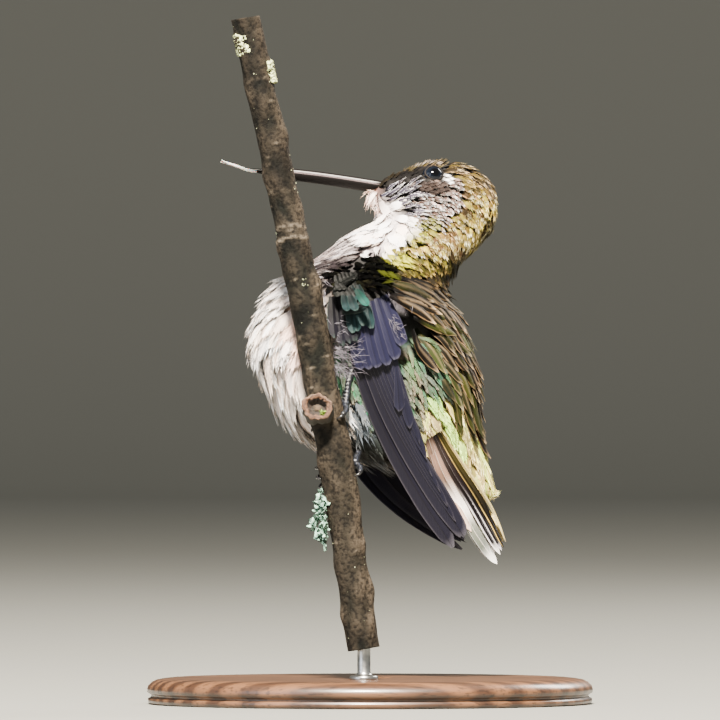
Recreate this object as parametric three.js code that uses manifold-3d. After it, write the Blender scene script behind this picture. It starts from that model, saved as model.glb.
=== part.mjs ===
// A young ruby-throated hummingbird, life size, clinging to a thin upright twig with its feathers ruffled
// and its head thrown back. The twig is pinned to a plain round display base.
//
// Millimetres, +Z up. The origin is the centre of the base's underside. The bill points to -X, the bird's
// back is towards +X, and its left side faces -Y.

import * as THREE from "three";
import { mergeVertices } from "three/addons/utils/BufferGeometryUtils.js";
import Module from "manifold-3d";

const wasm = await Module();
wasm.setup();

const degrees = THREE.MathUtils.degToRad;
const mix = THREE.MathUtils.lerp;
const clamp = THREE.MathUtils.clamp;
const smooth = THREE.MathUtils.smoothstep;
const vec = (x, y, z) => new THREE.Vector3(x, y, z);

// ---------------------------------------------------------------- driving dimensions

const BILL_ROOT = 8.5; // from the middle of the head to the edge of the forehead feathers
const BILL_LENGTH = 17.8; // from there to the tip
const BILL_HIDDEN = 3.6; // the bill's root inside the feathers
const BILL_HEIGHT = 1.55;
const BILL_TAPER = 0.36; // share of the bare bill over which it comes to a point
const TONGUE_REACH = 3.9; // the tongue's length beyond the bill
const TONGUE_RADIUS = 0.26;
const EYE_RADIUS = 1.5;

const BODY_YAW = degrees(18); // the belly is turned this much towards -Y
const BODY_LEAN = Math.tan(degrees(9)); // the head end leans this much to +Y
const LEAN_HEIGHT = 43; // height at which the leaning mid-plane crosses the origin
const HEAD_PITCH = degrees(7.6); // the bill points this much upwards
const HEAD_ROLL = degrees(26); // the crown leans this much to +Y

const SEAM = 0.2; // width of the cuts that part the body
const CLEARANCE = 0.14; // gap left round a piece that sits in another
const VANE = 0.52; // thickness of a sheet of flight feathers
const TARSUS_RADIUS = 0.46;
const TOE_RADIUS = 0.42;
const CLAW_RADIUS = 0.27;

const STEM_Y = -12.5;
const STUB_RADIUS = 1.8;
const BASE_RADIUS = 29;
const BASE_THICKNESS = 3.4;
const ROD_RADIUS = 0.85;

// ---------------------------------------------------------------- solids

// A closed geometry as a manifold-3d solid, with its faces turned outwards.
function solidOf(geometry) {
  const bare = geometry.clone();
  bare.deleteAttribute("normal");
  bare.deleteAttribute("uv");
  const merged = mergeVertices(bare, 1e-4);
  const triVerts = new Uint32Array(merged.index.array);
  const vertProperties = merged.attributes.position.array;
  const solid = () => new wasm.Manifold(new wasm.Mesh({ numProp: 3, vertProperties, triVerts }));
  if (solid().volume() > 0) return solid();
  for (let i = 0; i < triVerts.length; i += 3)
    [triVerts[i + 1], triVerts[i + 2]] = [triVerts[i + 2], triVerts[i + 1]];
  return solid();
}

// A solid as a geometry, without the slivers that cuts leave. Of loose bodies only the largest is kept.
function geometryOf(solid, finest = 0.03) {
  const largest = solid.decompose().reduce((a, b) => (b.volume() > a.volume() ? b : a)).simplify(finest);
  const mesh = largest.getMesh();
  const geometry = new THREE.BufferGeometry();
  geometry.setAttribute("position", new THREE.BufferAttribute(mesh.vertProperties, 3));
  geometry.setIndex(new THREE.BufferAttribute(mesh.triVerts, 1));
  geometry.computeVertexNormals();
  return geometry;
}

// The half of space on the side of a plane that its normal points away from, as a large box.
function halfSpace(point, normal) {
  const size = 300;
  const box = new THREE.BoxGeometry(size, size, size).translate(0, 0, -size / 2);
  box.applyQuaternion(new THREE.Quaternion().setFromUnitVectors(vec(0, 0, 1), normal.clone().normalize()));
  return solidOf(box.translate(point.x, point.y, point.z));
}

// Moves every vertex of a geometry to where place(x, y, z) puts it.
function reshape(geometry, place) {
  const position = geometry.attributes.position;
  for (let i = 0; i < position.count; i++) {
    const p = place(position.getX(i), position.getY(i), position.getZ(i));
    position.setXYZ(i, p.x, p.y, p.z);
  }
  return geometry;
}

// Rows of numbers read as one smooth curve, at t from 0 to 1.
function rowAt(rows, t) {
  const s = clamp(t, 0, 1) * (rows.length - 1);
  const i = Math.min(Math.floor(s), rows.length - 2);
  const f = s - i;
  const row = (k) => rows[clamp(k, 0, rows.length - 1)];
  return rows[0].map((_, c) => {
    const [a, b] = [row(i)[c], row(i + 1)[c]];
    const [before, after] = [(b - row(i - 1)[c]) / 2, (row(i + 2)[c] - a) / 2];
    return a + f * before + f * f * (3 * (b - a) - 2 * before - after) + f ** 3 * (2 * (a - b) + before + after);
  });
}

// A closed body swept from end to end: ring(t) gives its centre and out(angle), with t from 0 to 1.
// cap is the share of the length over which each end is rounded off; with 0 both ends are sawn flat.
function loft(ring, around, along, cap) {
  return reshape(new THREE.SphereGeometry(1, around, along), (x, y, z) => {
    const place = Math.acos(clamp(y, -1, 1)) / Math.PI;
    const toEnd = Math.min(place, 1 - place);
    const size = toEnd < 1e-6 ? 0 : toEnd > cap ? 1 : Math.sqrt(1 - (1 - toEnd / cap) ** 2);
    const t = cap === 0 ? clamp((place * along - 1) / (along - 2), 0, 1) : place;
    const { centre, out } = ring(t);
    return centre.clone().addScaledVector(out(Math.atan2(z, x)), size);
  });
}

// A round tube along a curve through some points.
function limb(points, radiusAt, sides, steps, cap = 0.12) {
  const curve = new THREE.CatmullRomCurve3(points, false, "centripetal");
  const frames = curve.computeFrenetFrames(steps, false);
  const ring = (t) => {
    const i = Math.round(t * steps);
    const out = (angle) =>
      frames.normals[i].clone().multiplyScalar(Math.cos(angle) * radiusAt(t))
        .addScaledVector(frames.binormals[i], Math.sin(angle) * radiusAt(t));
    return { centre: curve.getPointAt(t), out };
  };
  return loft(ring, sides, steps, cap);
}

const ball = (radius) => new THREE.SphereGeometry(radius, 14, 9);
const ballAt = (centre, radius) => solidOf(ball(radius).translate(centre.x, centre.y, centre.z));

// ---------------------------------------------------------------- the body's mid-plane

// The bird is upright, turned and leaning. y on its mid-plane, for a point seen from -Y at (x, z).
const midY = (x, z) => (z - LEAN_HEIGHT) * BODY_LEAN + x * Math.tan(BODY_YAW);
const lateral = vec(-Math.tan(BODY_YAW), 1, -BODY_LEAN); // to the bird's right, square to its mid-plane
// A point on the bird's left side, reach mm out from the mid-plane, that shows at (x, z) from -Y.
const onLeft = (x, z, reach) => vec(x, midY(x, z) - reach * lateral.length(), z);
function mirrored(p) {
  const off = p.y - midY(p.x, p.z);
  return p.clone().addScaledVector(lateral, (-2 * off) / lateral.lengthSq());
}

// ---------------------------------------------------------------- neck and trunk

// Loops from the throat to the tip of the uppertail coverts, over the ruffled feathers:
// [x and z of the ventral edge, x and z of the dorsal edge, half the width].
const BODY_LOOPS = [
  [1.0, 66.6, 12.4, 67.6, 3.8],
  [0.5, 63.2, 16.3, 62.8, 5.3],
  [-3.4, 60.9, 14.3, 59.6, 6.4],
  [-7.0, 57.9, 11.0, 56.3, 7.6],
  [-12.5, 54.7, 9.9, 53.5, 8.9],
  [-15.0, 49.7, 12.1, 50.3, 9.8],
  [-15.6, 45.6, 13.5, 45.9, 10.2],
  [-13.6, 40.9, 14.4, 41.3, 9.9],
  [-10.8, 36.4, 14.5, 37.0, 8.9],
  [-6.8, 33.4, 14.9, 33.6, 7.2],
  [-1.0, 31.6, 15.6, 31.0, 5.1],
  [7.0, 29.4, 16.3, 28.4, 3.2],
  [13.4, 26.8, 16.8, 25.9, 1.7],
];

function bodyLoop(t) {
  const [vx, vz, dx, dz, halfWidth] = rowAt(BODY_LOOPS, t);
  const dorsal = vec((dx - vx) / 2, 0, (dz - vz) / 2);
  const seen = dorsal.length();
  dorsal.normalize();
  // Once turned by the yaw the loop shows the stated depth from the left side.
  const half = Math.sqrt(Math.max(seen ** 2 - (halfWidth * Math.sin(BODY_YAW)) ** 2, 0.25)) / Math.cos(BODY_YAW);
  const along = dorsal.clone().multiplyScalar(Math.cos(BODY_YAW)).add(vec(0, Math.sin(BODY_YAW), 0));
  const across = dorsal.clone().multiplyScalar(-Math.sin(BODY_YAW)).add(vec(0, Math.cos(BODY_YAW), 0));
  const centre = vec((vx + dx) / 2, midY((vx + dx) / 2, (vz + dz) / 2), (vz + dz) / 2);
  const out = (angle) =>
    along.clone().multiplyScalar(half * Math.cos(angle))
      .addScaledVector(across, halfWidth * Math.sin(angle) * (1 - 0.1 * Math.cos(angle)));
  return { centre, out };
}

const neckAndTrunk = solidOf(loft(bodyLoop, 24, 27, 0.05));

// ---------------------------------------------------------------- head

// The head's own frame: +X runs out along the bill, +Y to the left cheek, +Z to the crown.
const HEAD_CENTRE = vec(9.2, midY(9.2, 65.5), 65.5);
const headForward = vec(
  -Math.cos(HEAD_PITCH) * Math.cos(BODY_YAW),
  -Math.cos(HEAD_PITCH) * Math.sin(BODY_YAW),
  Math.sin(HEAD_PITCH),
);
const levelRight = vec(-Math.sin(BODY_YAW), Math.cos(BODY_YAW), 0);
const headUp = levelRight.clone().cross(headForward).multiplyScalar(Math.cos(HEAD_ROLL))
  .addScaledVector(levelRight, Math.sin(HEAD_ROLL));
const headLeft = headUp.clone().cross(headForward);
const headFrame = new THREE.Matrix4().makeBasis(headForward, headLeft, headUp).setPosition(HEAD_CENTRE);
const inHead = (x, y, z) => vec(x, y, z).applyMatrix4(headFrame);

// Loops from the back of the head to the root of the bill: [forward, crown, chin, half the width].
const HEAD_LOOPS = [
  [-6.9, 0.2, -3.0, 2.4],
  [-6.3, 3.0, -4.6, 4.1],
  [-3.8, 5.0, -5.4, 5.0],
  [-0.2, 5.5, -5.5, 5.0],
  [3.0, 4.7, -5.0, 4.2],
  [6.0, 3.0, -3.9, 3.0],
  [8.6, 1.8, -2.5, 1.9],
  [10.2, 0.9, -1.4, 1.2],
];
function headLoop(t) {
  const [forward, crown, chin, halfWidth] = rowAt(HEAD_LOOPS, t);
  const out = (angle) =>
    inHead(0, halfWidth * Math.cos(angle), ((crown - chin) / 2) * Math.sin(angle)).sub(HEAD_CENTRE);
  return { centre: inHead(forward, 0, (crown + chin) / 2), out };
}
const headMass = solidOf(loft(headLoop, 22, 16, 0.12));

const EYE_PLACE = { forward: 2.15, side: 3.1, up: 1.6 };
const eyeCentres = {
  left: inHead(EYE_PLACE.forward, EYE_PLACE.side, EYE_PLACE.up),
  right: inHead(EYE_PLACE.forward, -EYE_PLACE.side, EYE_PLACE.up),
};

// ---------------------------------------------------------------- bill and tongue

// The bill's axis and height, by distance forward of the middle of the head.
const billShare = (forward) => clamp((forward - BILL_ROOT) / BILL_LENGTH, 0, 1);
const billAxis = (forward) => 0.77 - 0.3 * billShare(forward) + 0.24 * Math.sin(Math.PI * billShare(forward));
const billHeight = (forward) => {
  const share = billShare(forward);
  return BILL_HEIGHT * (1 - 0.14 * share) * (1 - 0.72 * smooth(share, 1 - BILL_TAPER, 1.02));
};

// One half of the bill: a half-round spar. side is +1 above the gape and -1 below, share its part of the
// bill's height, and grown makes it a little larger all round, to cut its seat.
function mandible(side, share, length, grown = 0) {
  const ring = (t) => {
    const forward = BILL_ROOT - BILL_HIDDEN + t * length;
    const height = billHeight(forward);
    const depth = height * share;
    const out = (angle) => {
      const lift = Math.sin(angle);
      const up = side * (lift > 0 ? depth * 0.74 * lift : depth * 0.26 * lift);
      return inHead(0, (height * 0.56 + grown) * Math.cos(angle), up + grown * lift * side).sub(HEAD_CENTRE);
    };
    return { centre: inHead(forward, 0, billAxis(forward) + side * (depth * 0.26 + CLEARANCE / 4)), out };
  };
  return loft(ring, 10, 13, 0.06);
}
const billHalves = {
  upper: { side: 1, share: 0.46, length: BILL_HIDDEN + BILL_LENGTH },
  lower: { side: -1, share: 0.56, length: BILL_HIDDEN + BILL_LENGTH - 0.6 },
};

const billTip = BILL_ROOT + BILL_LENGTH;
const tongue = limb(
  [
    inHead(billTip + 0.25, 0, billAxis(billTip) - 0.05),
    inHead(billTip + TONGUE_REACH * 0.5, 0.1, billAxis(billTip) + 0.27),
    inHead(billTip + TONGUE_REACH, 0.2, billAxis(billTip) + 0.6),
  ],
  (t) => TONGUE_RADIUS * (1 - 0.25 * t), 8, 6,
);

// ---------------------------------------------------------------- sheets of feathers

// How far out the folded wing lies, by height.
const WING_REACH = [[5.0], [5.6], [6.4], [7.5], [8.9], [10.2], [10.75], [10.5], [9.4]]; // from z = 18 to 58
const wingReach = (z) => rowAt(WING_REACH, (z - 18) / 40)[0];

// How much a row of round-ended vanes is cut back at a place across it: 0 mid-vane and 1 between two.
const roundingAt = (vanes) => (2 * (vanes - Math.floor(vanes + 1e-6)) - 1) ** 2;

// A sheet of feathers, scalloped where the vanes end. root and tip give [x, z], as seen from -Y, of both
// ends of the feather at u from 0 to 1 across the sheet, and layer how far it lies off the folded wing's bed.
function featherSheet({ count, root, tip, bow, scallop, rows, layer, widthSign, tipPush }, grown = 0) {
  return reshape(new THREE.BoxGeometry(1, 1, 1, count * 2, rows, 1), (x, y, z) => {
    const u = x + 0.5;
    const v = 0.5 - y;
    const rounding = grown > 0 ? 0 : roundingAt(u * count);
    const [rx, rz] = root(u);
    const [tx, tz] = tip(u);
    const length = Math.hypot(tx - rx, tz - rz);
    const share = 0.5 + (v * (1 - (scallop * rounding) / length) - 0.5) * (1 + (2 * grown) / length);
    // grown also moves the long edges apart, each outwards from the middle of the sheet.
    const edge = grown * Math.sign(u - 0.5) * (Math.abs(u - 0.5) > 0.49 ? 1 : 0) * widthSign;
    const push = grown * tipPush * v * (1 - smooth(u, 0.8, 1));
    const px = mix(rx, tx, share) - bow(u) * Math.sin(Math.PI * clamp(share, 0, 1)) + edge + push;
    const pz = mix(rz, tz, share);
    return onLeft(px, pz, wingReach(pz) + layer + z * (VANE + 3 * grown));
  });
}

// Where each primary ends, from the innermost to the outermost.
const PRIMARY_TIPS = [
  [3.4, 38.8], [5.1, 36.6], [6.8, 34.3], [7.9, 32.0], [8.7, 29.5],
  [9.6, 27.1], [10.5, 24.8], [11.2, 22.7], [11.4, 20.8], [8.9, 20.2],
];

// u runs from the innermost primary to the outermost, and over the secondaries from the outermost inwards.
const PRIMARIES = {
  count: 10, rows: 7, scallop: 1.0, layer: 0, widthSign: -1, tipPush: 8.6,
  root: (u) => [mix(2.6, -4.5, u), mix(49.4, 53.6, u)],
  tip: (u) => rowAt(PRIMARY_TIPS, u),
  bow: (u) => mix(-0.4, 2.25, u),
};
const SECONDARIES = {
  count: 6, rows: 3, scallop: 1.0, layer: VANE + CLEARANCE, widthSign: 1, tipPush: 0,
  root: (u) => [mix(-3.4, 4.2, u), mix(51.4, 53.4, u)],
  tip: (u) => [mix(-1.8, 5.2, u), 43.0 + 0.4 * u + 3.4 * u ** 3],
  bow: (u) => mix(0.7, -0.2, u),
};
const COVERT_LAYER = SECONDARIES.layer + VANE / 2 + CLEARANCE;

// The feathered arm over the roots of the flight feathers, from the wrist back to the shoulder.
// Rows from wrist to shoulder: [x, z, half the height, thickness].
const ARM_LOOPS = [
  [-5.0, 54.2, 0.9, 0.9],
  [-4.2, 53.0, 2.4, 1.5],
  [-1.2, 52.2, 3.5, 1.9],
  [2.4, 52.0, 3.6, 1.8],
  [5.4, 52.4, 2.6, 1.2],
];
function armLoop(grown) {
  return (t) => {
    const [x, z, halfHeight, thickness] = rowAt(ARM_LOOPS, t);
    const middle = COVERT_LAYER + thickness * 0.25;
    const centre = onLeft(x, z, wingReach(z) + middle);
    const out = (angle) => {
      const dz = (halfHeight + grown) * Math.sin(angle);
      const off = Math.cos(angle);
      const depth = (off > 0 ? 0.75 : 0.25) * thickness * off + grown * off;
      return onLeft(x - 0.25 * dz, z + dz, wingReach(z + dz) + middle + depth).sub(centre);
    };
    return { centre, out };
  };
}

// The parts of a folded wing, or with grown above 0 the room they take in the body's feathers.
const wingParts = (grown = 0) => ({
  coverts: solidOf(loft(armLoop(grown), 14, 9, 0.1)),
  secondaries: solidOf(featherSheet(SECONDARIES, grown)),
  primaries: solidOf(featherSheet(PRIMARIES, grown)),
});
const wing = wingParts();

// The far wing is the near one seen through the body's mid-plane.
const mirror = (solid) => solid.warp((p) => { [p[0], p[1], p[2]] = mirrored(vec(...p)).toArray(); });
// Its hand is folded a little nearer to the tail.
const farHand = (solid) => mirror(solid).warp((p) => {
  const drop = Math.max(0, 30 - p[2]) ** 2;
  p[0] += 0.024 * drop;
  p[1] += 0.006 * drop;
  p[2] += 0.006 * drop;
});
const farSide = { coverts: mirror, secondaries: mirror, primaries: farHand };


// ---------------------------------------------------------------- tail

// Ten tail feathers, closed like a steep roof whose ridge is the back: u from the far side to the near one.
const TAIL_RIDGE = [[12.3, 34.0], [14.0, 30.6], [15.5, 27.6], [16.8, 24.5], [17.9, 21.2]];
const TAIL_EDGE = [[8.6, 32.4], [9.2, 28.4], [10.8, 24.9], [13.0, 21.4], [16.2, 17.5]];
const TAIL_HALF_WIDTH = [[1.5], [2.8], [3.8], [4.2], [3.6]];
function tailSheet(grown = 0) {
  const count = 10;
  return reshape(new THREE.BoxGeometry(1, 1, 1, count * 2, 5, 1), (x, y, z) => {
    const u = x + 0.5;
    const v = 0.5 - y;
    const rounding = grown > 0 ? 0 : roundingAt(u * count);
    const spread = Math.abs(2 * u - 1); // 0 on the ridge, 1 on either edge
    const along = v * (1 - 0.045 * rounding);
    const [rx, rz] = rowAt(TAIL_RIDGE, along);
    const [ex, ez] = rowAt(TAIL_EDGE, along);
    const [halfWidth] = rowAt(TAIL_HALF_WIDTH, along);
    const thick = z * (VANE + 2 * grown);
    const beyond = spread > 0.99 ? grown : 0;
    const [dx, dz] = [(ex - rx) / Math.hypot(ex - rx, ez - rz), (ez - rz) / Math.hypot(ex - rx, ez - rz)];
    const lengthen = grown * (2 * v - 1);
    const px = mix(rx, ex, spread) + dx * beyond - thick * 0.68 + lengthen * 0.4;
    const pz = mix(rz, ez, spread) + dz * beyond - thick * 0.3 - lengthen * 0.9;
    const p = onLeft(px, pz, halfWidth * spread - thick * 0.6 * Math.min(1, spread * 5));
    return u < 0.5 ? mirrored(p) : p;
  });
}
const tail = solidOf(tailSheet());

// ---------------------------------------------------------------- twig

// The twig's middle and radius from the cut top down: [x, z, radius].
const TWIG_LOOPS = [
  [-16.1, 88.9, 1.9],
  [-14.0, 79.0, 1.88],
  [-11.9, 69.6, 1.9],
  [-10.0, 60.4, 2.02],
  [-8.2, 52.2, 2.16],
  [-6.9, 45.4, 2.16],
  [-5.7, 38.0, 2.2],
  [-4.1, 30.4, 2.3],
  [-3.1, 22.9, 2.14],
  [-1.95, 14.9, 2.1],
  [-0.8, 7.4, 2.06],
];
function twigRing(grown) {
  return (t) => {
    const [x, z, radius] = rowAt(TWIG_LOOPS, t);
    const out = (angle) => vec(Math.cos(angle), Math.sin(angle), 0.16 * Math.cos(angle)).multiplyScalar(radius + grown);
    return { centre: vec(x, STEM_Y, z), out };
  };
}
const TWIG_SIDES = 12;
const TWIG_STEPS = 26;
const twig = solidOf(loft(twigRing(0), TWIG_SIDES, TWIG_STEPS, 0));
const twigSeat = solidOf(loft(twigRing(CLEARANCE), TWIG_SIDES, TWIG_STEPS, 0));

// The stub of a side shoot, sawn off short, that faces -Y.
const STUB_PLACE = vec(-6.75, STEM_Y, 38.5);
const stubTube = (grown) =>
  limb(
    [STUB_PLACE.clone().add(vec(0.3, -0.9, -0.5)), STUB_PLACE.clone().add(vec(-0.1, -4.3, 0.2))],
    () => STUB_RADIUS + grown, 16, 4, 0,
  );
const stub = solidOf(stubTube(0)).subtract(solidOf(loft(twigRing(CLEARANCE / 2), TWIG_SIDES, TWIG_STEPS, 0)));

// ---------------------------------------------------------------- legs

// A point on the twig at a height, turned by an angle from +X towards +Y, some way out from the bark.
function onTwig(z, angle, outwards) {
  const [top, bottom] = [TWIG_LOOPS[0][1], TWIG_LOOPS.at(-1)[1]];
  let t = (top - z) / (top - bottom);
  for (let i = 0; i < 8; i++) t += (rowAt(TWIG_LOOPS, t)[1] - z) / (top - bottom);
  const [x, , radius] = rowAt(TWIG_LOOPS, t);
  const reach = radius + outwards;
  return vec(x + reach * Math.cos(angle), STEM_Y + reach * Math.sin(angle), z + 0.16 * reach * Math.cos(angle));
}

// A toe that wraps round the bark from one angle to another, and its claw.
function toe({ height, drop, from, to }) {
  const gap = CLEARANCE * 0.6;
  const points = [0, 0.25, 0.5, 0.75, 1].map((t) =>
    onTwig(height - drop * t, degrees(mix(from, to, t)), TOE_RADIUS + gap + 0.1 * Math.sin(Math.PI * t)));
  const radius = (t) => mix(TOE_RADIUS, CLAW_RADIUS, smooth(t, 0.62, 0.78)) * (1 - 0.3 * smooth(t, 0.85, 1));
  return solidOf(limb(points, radius, 6, 7, 0.08));
}

const LEGS = {
  left: {
    knee: vec(-2.2, -10.4, 43.6), ankle: vec(-2.75, -11.0, 42.0), foot: { height: 38.7, angle: 12 },
    toes: [
      { height: 38.9, drop: 0.2, from: 20, to: 165 },
      { height: 38.4, drop: 1.3, from: 20, to: 172 },
      { height: 38.0, drop: 2.2, from: 20, to: 160 },
      { height: 38.4, drop: 1.5, from: 8, to: -62 },
    ],
  },
  right: {
    knee: vec(-1.2, -6.6, 34.8), ankle: vec(-1.3, -7.6, 33.2), foot: { height: 31.2, angle: 35 },
    toes: [
      { height: 31.4, drop: 0.3, from: 45, to: 184 },
      { height: 31.0, drop: 1.2, from: 45, to: 192 },
      { height: 30.5, drop: 2.0, from: 45, to: 178 },
      { height: 30.9, drop: 1.5, from: 28, to: -38 },
    ],
  },
};
const legs = {};
for (const [side, { knee, ankle, foot, toes }] of Object.entries(LEGS)) {
  const sole = onTwig(foot.height, degrees(foot.angle), TARSUS_RADIUS + CLEARANCE);
  const tarsus = solidOf(limb([knee, ankle, ankle.clone().lerp(sole, 0.9)], () => TARSUS_RADIUS, 8, 8));
  const pad = ballAt(sole, TARSUS_RADIUS * 1.25);
  const grip = toes.map(toe).reduce((a, b) => a.add(b), pad);
  const bark = solidOf(loft(twigRing(CLEARANCE / 2), TWIG_SIDES, TWIG_STEPS, 0));
  legs[side] = { leg: tarsus.subtract(ballAt(sole, TARSUS_RADIUS * 1.25 + CLEARANCE)), foot: grip.subtract(bark) };
}

// ---------------------------------------------------------------- parting the body

// The cuts between head, neck and trunk, each through a point and square to its normal.
const headCut = { point: vec(8, midY(8, 61.8), 61.8), normal: vec(0.18, 0.12, 1).normalize() };
const neckCut = { point: vec(1.2, midY(1.2, 56.4), 56.4), normal: vec(0.08, 0.08, 1).normalize() };
const above = ({ point, normal }) => halfSpace(point.clone().addScaledVector(normal, SEAM / 2), normal.clone().negate());
const below = ({ point, normal }) => halfSpace(point.clone().addScaledVector(normal, -SEAM / 2), normal);

let flesh = neckAndTrunk.add(headMass);
for (const centre of Object.values(eyeCentres)) flesh = flesh.subtract(ballAt(centre, EYE_RADIUS + CLEARANCE));
for (const { side, share, length } of Object.values(billHalves))
  flesh = flesh.subtract(solidOf(mandible(side, share, length, CLEARANCE)));
flesh = flesh.subtract(twigSeat).subtract(solidOf(tailSheet(CLEARANCE)));
// The belly feathers leave room for the toes where they wrap round the twig.
const toeRoom = solidOf(loft(twigRing(2 * TOE_RADIUS + 3 * CLEARANCE), TWIG_SIDES, TWIG_STEPS, 0));
for (const { foot } of Object.values(LEGS)) {
  const slab = solidOf(new THREE.BoxGeometry(60, 60, 4.4).translate(0, 0, foot.height - 0.9));
  flesh = flesh.subtract(toeRoom.intersect(slab));
}
for (const [part, solid] of Object.entries(wingParts(CLEARANCE)))
  flesh = flesh.subtract(solid).subtract(farSide[part](solid));
for (const { knee, ankle, foot } of Object.values(LEGS)) {
  const sole = onTwig(foot.height, degrees(foot.angle), TARSUS_RADIUS + CLEARANCE);
  flesh = flesh.subtract(solidOf(limb([knee, ankle, sole], () => TARSUS_RADIUS + CLEARANCE, 8, 8)));
  flesh = flesh.subtract(ballAt(sole, TARSUS_RADIUS * 1.25 + CLEARANCE));
}

const reversed = (geometry) => {
  const index = geometry.index.array;
  for (let i = 0; i < index.length; i += 3) [index[i + 1], index[i + 2]] = [index[i + 2], index[i + 1]];
  geometry.computeVertexNormals();
  return geometry;
};

// ---------------------------------------------------------------- the model

const materials = {
  plumage: new THREE.MeshStandardMaterial({ color: 0x7c8050, roughness: 0.7, metalness: 0.1 }),
  flight_feather: new THREE.MeshStandardMaterial({ color: 0x4b434c, roughness: 0.55, metalness: 0.05 }),
  horn: new THREE.MeshStandardMaterial({ color: 0x1b191c, roughness: 0.35, metalness: 0 }),
  tongue: new THREE.MeshStandardMaterial({ color: 0xb4b8b2, roughness: 0.3, metalness: 0 }),
  eye: new THREE.MeshStandardMaterial({ color: 0x0a0808, roughness: 0.05, metalness: 0 }),
  foot_skin: new THREE.MeshStandardMaterial({ color: 0x3a3f4a, roughness: 0.5, metalness: 0 }),
  bark: new THREE.MeshStandardMaterial({ color: 0x6b5f54, roughness: 0.9, metalness: 0 }),
  cut_wood: new THREE.MeshStandardMaterial({ color: 0xb59a70, roughness: 0.85, metalness: 0 }),
  base_wood: new THREE.MeshStandardMaterial({ color: 0x3a2a20, roughness: 0.45, metalness: 0 }),
  steel: new THREE.MeshStandardMaterial({ color: 0x9a9a9a, roughness: 0.3, metalness: 1 }),
};
for (const [name, material] of Object.entries(materials)) material.name = name;

const group = new THREE.Group();
function put(name, geometry, material) {
  const mesh = new THREE.Mesh(geometry, materials[material]);
  mesh.name = name;
  group.add(mesh);
  return mesh;
}

put("head", geometryOf(flesh.intersect(above(headCut))), "plumage");
put("neck", geometryOf(flesh.intersect(below(headCut)).intersect(above(neckCut))), "plumage");
put("trunk", geometryOf(flesh.intersect(below(neckCut))), "plumage");
put("tail", geometryOf(tail), "flight_feather");
for (const [part, solid] of Object.entries(wing)) {
  const material = part === "coverts" ? "plumage" : "flight_feather";
  put(`wing_left_${part}`, geometryOf(solid), material);
  put(`wing_right_${part}`, reversed(geometryOf(farSide[part](solid))), material);
}
for (const [name, { side, share, length }] of Object.entries(billHalves))
  put(`bill_${name}`, geometryOf(solidOf(mandible(side, share, length))), "horn");
put("tongue", tongue, "tongue");
for (const [side, centre] of Object.entries(eyeCentres)) put(`eye_${side}`, ball(EYE_RADIUS), "eye").position.copy(centre);
for (const [side, { leg, foot }] of Object.entries(legs)) {
  put(`leg_${side}`, geometryOf(leg), "foot_skin");
  put(`foot_${side}`, geometryOf(foot), "foot_skin");
}

const [footX, footZ] = TWIG_LOOPS.at(-1);
const rodTop = footZ + 4;
const bore = new THREE.CylinderGeometry(ROD_RADIUS + CLEARANCE, ROD_RADIUS + CLEARANCE, 12, 20)
  .rotateX(Math.PI / 2).translate(footX, STEM_Y, rodTop + CLEARANCE - 6);
put("perch_stem", geometryOf(twig.subtract(solidOf(bore))), "bark");
put("perch_stub", geometryOf(stub), "cut_wood");

const rodFoot = BASE_THICKNESS + CLEARANCE / 2;
put(
  "stand_rod",
  new THREE.CylinderGeometry(ROD_RADIUS, ROD_RADIUS, rodTop - rodFoot, 20)
    .rotateX(Math.PI / 2).translate(footX, STEM_Y, (rodTop + rodFoot) / 2),
  "steel",
);
const profile = [
  [0, 0], [BASE_RADIUS - 0.4, 0], [BASE_RADIUS, 0.4], [BASE_RADIUS, BASE_THICKNESS - 0.9],
  [BASE_RADIUS - 0.9, BASE_THICKNESS], [0, BASE_THICKNESS],
].map(([r, z]) => new THREE.Vector2(r, z));
put("stand_base", new THREE.LatheGeometry(profile, 40).rotateX(Math.PI / 2), "base_wood");

export default group;
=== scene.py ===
"""A young ruby-throated hummingbird on a cut twig, feathered over its plain solids, in metres, +Z up."""
import sys
import logging
import math
from collections.abc import Callable
from dataclasses import dataclass, field
from enum import Enum
from itertools import product

import bmesh
import bpy
import numpy as np
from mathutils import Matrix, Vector
from mathutils.bvhtree import BVHTree


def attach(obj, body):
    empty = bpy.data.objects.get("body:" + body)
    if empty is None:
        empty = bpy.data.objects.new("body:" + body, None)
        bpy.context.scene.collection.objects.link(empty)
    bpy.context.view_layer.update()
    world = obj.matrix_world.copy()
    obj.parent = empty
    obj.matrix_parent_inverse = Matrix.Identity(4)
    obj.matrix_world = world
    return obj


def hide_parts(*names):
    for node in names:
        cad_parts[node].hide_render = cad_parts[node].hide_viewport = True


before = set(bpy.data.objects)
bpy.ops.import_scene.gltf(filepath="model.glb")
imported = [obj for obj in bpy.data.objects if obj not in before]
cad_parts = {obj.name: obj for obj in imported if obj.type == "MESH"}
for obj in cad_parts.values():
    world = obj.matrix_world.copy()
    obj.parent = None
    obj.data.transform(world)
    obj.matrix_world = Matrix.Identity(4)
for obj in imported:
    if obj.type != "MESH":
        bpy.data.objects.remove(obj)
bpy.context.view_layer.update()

MM = 0.001
LOG = logging.getLogger("hummingbird")

Array = np.ndarray
Mesh = tuple[Array, Array]  # vertices in mm, and faces
Laid = tuple[Array, Array]  # places in mm, and the outward normals there
Batch = dict[str, Array]  # the tables of one batch of feathers, by name
Line = tuple[tuple[float, float], ...]  # pairs of x and z in mm
Tree, Node, Socket = bpy.types.NodeTree, bpy.types.Node, bpy.types.NodeSocket
Material = bpy.types.Material


# ------------------------------------------------------------------ colour and materials


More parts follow.
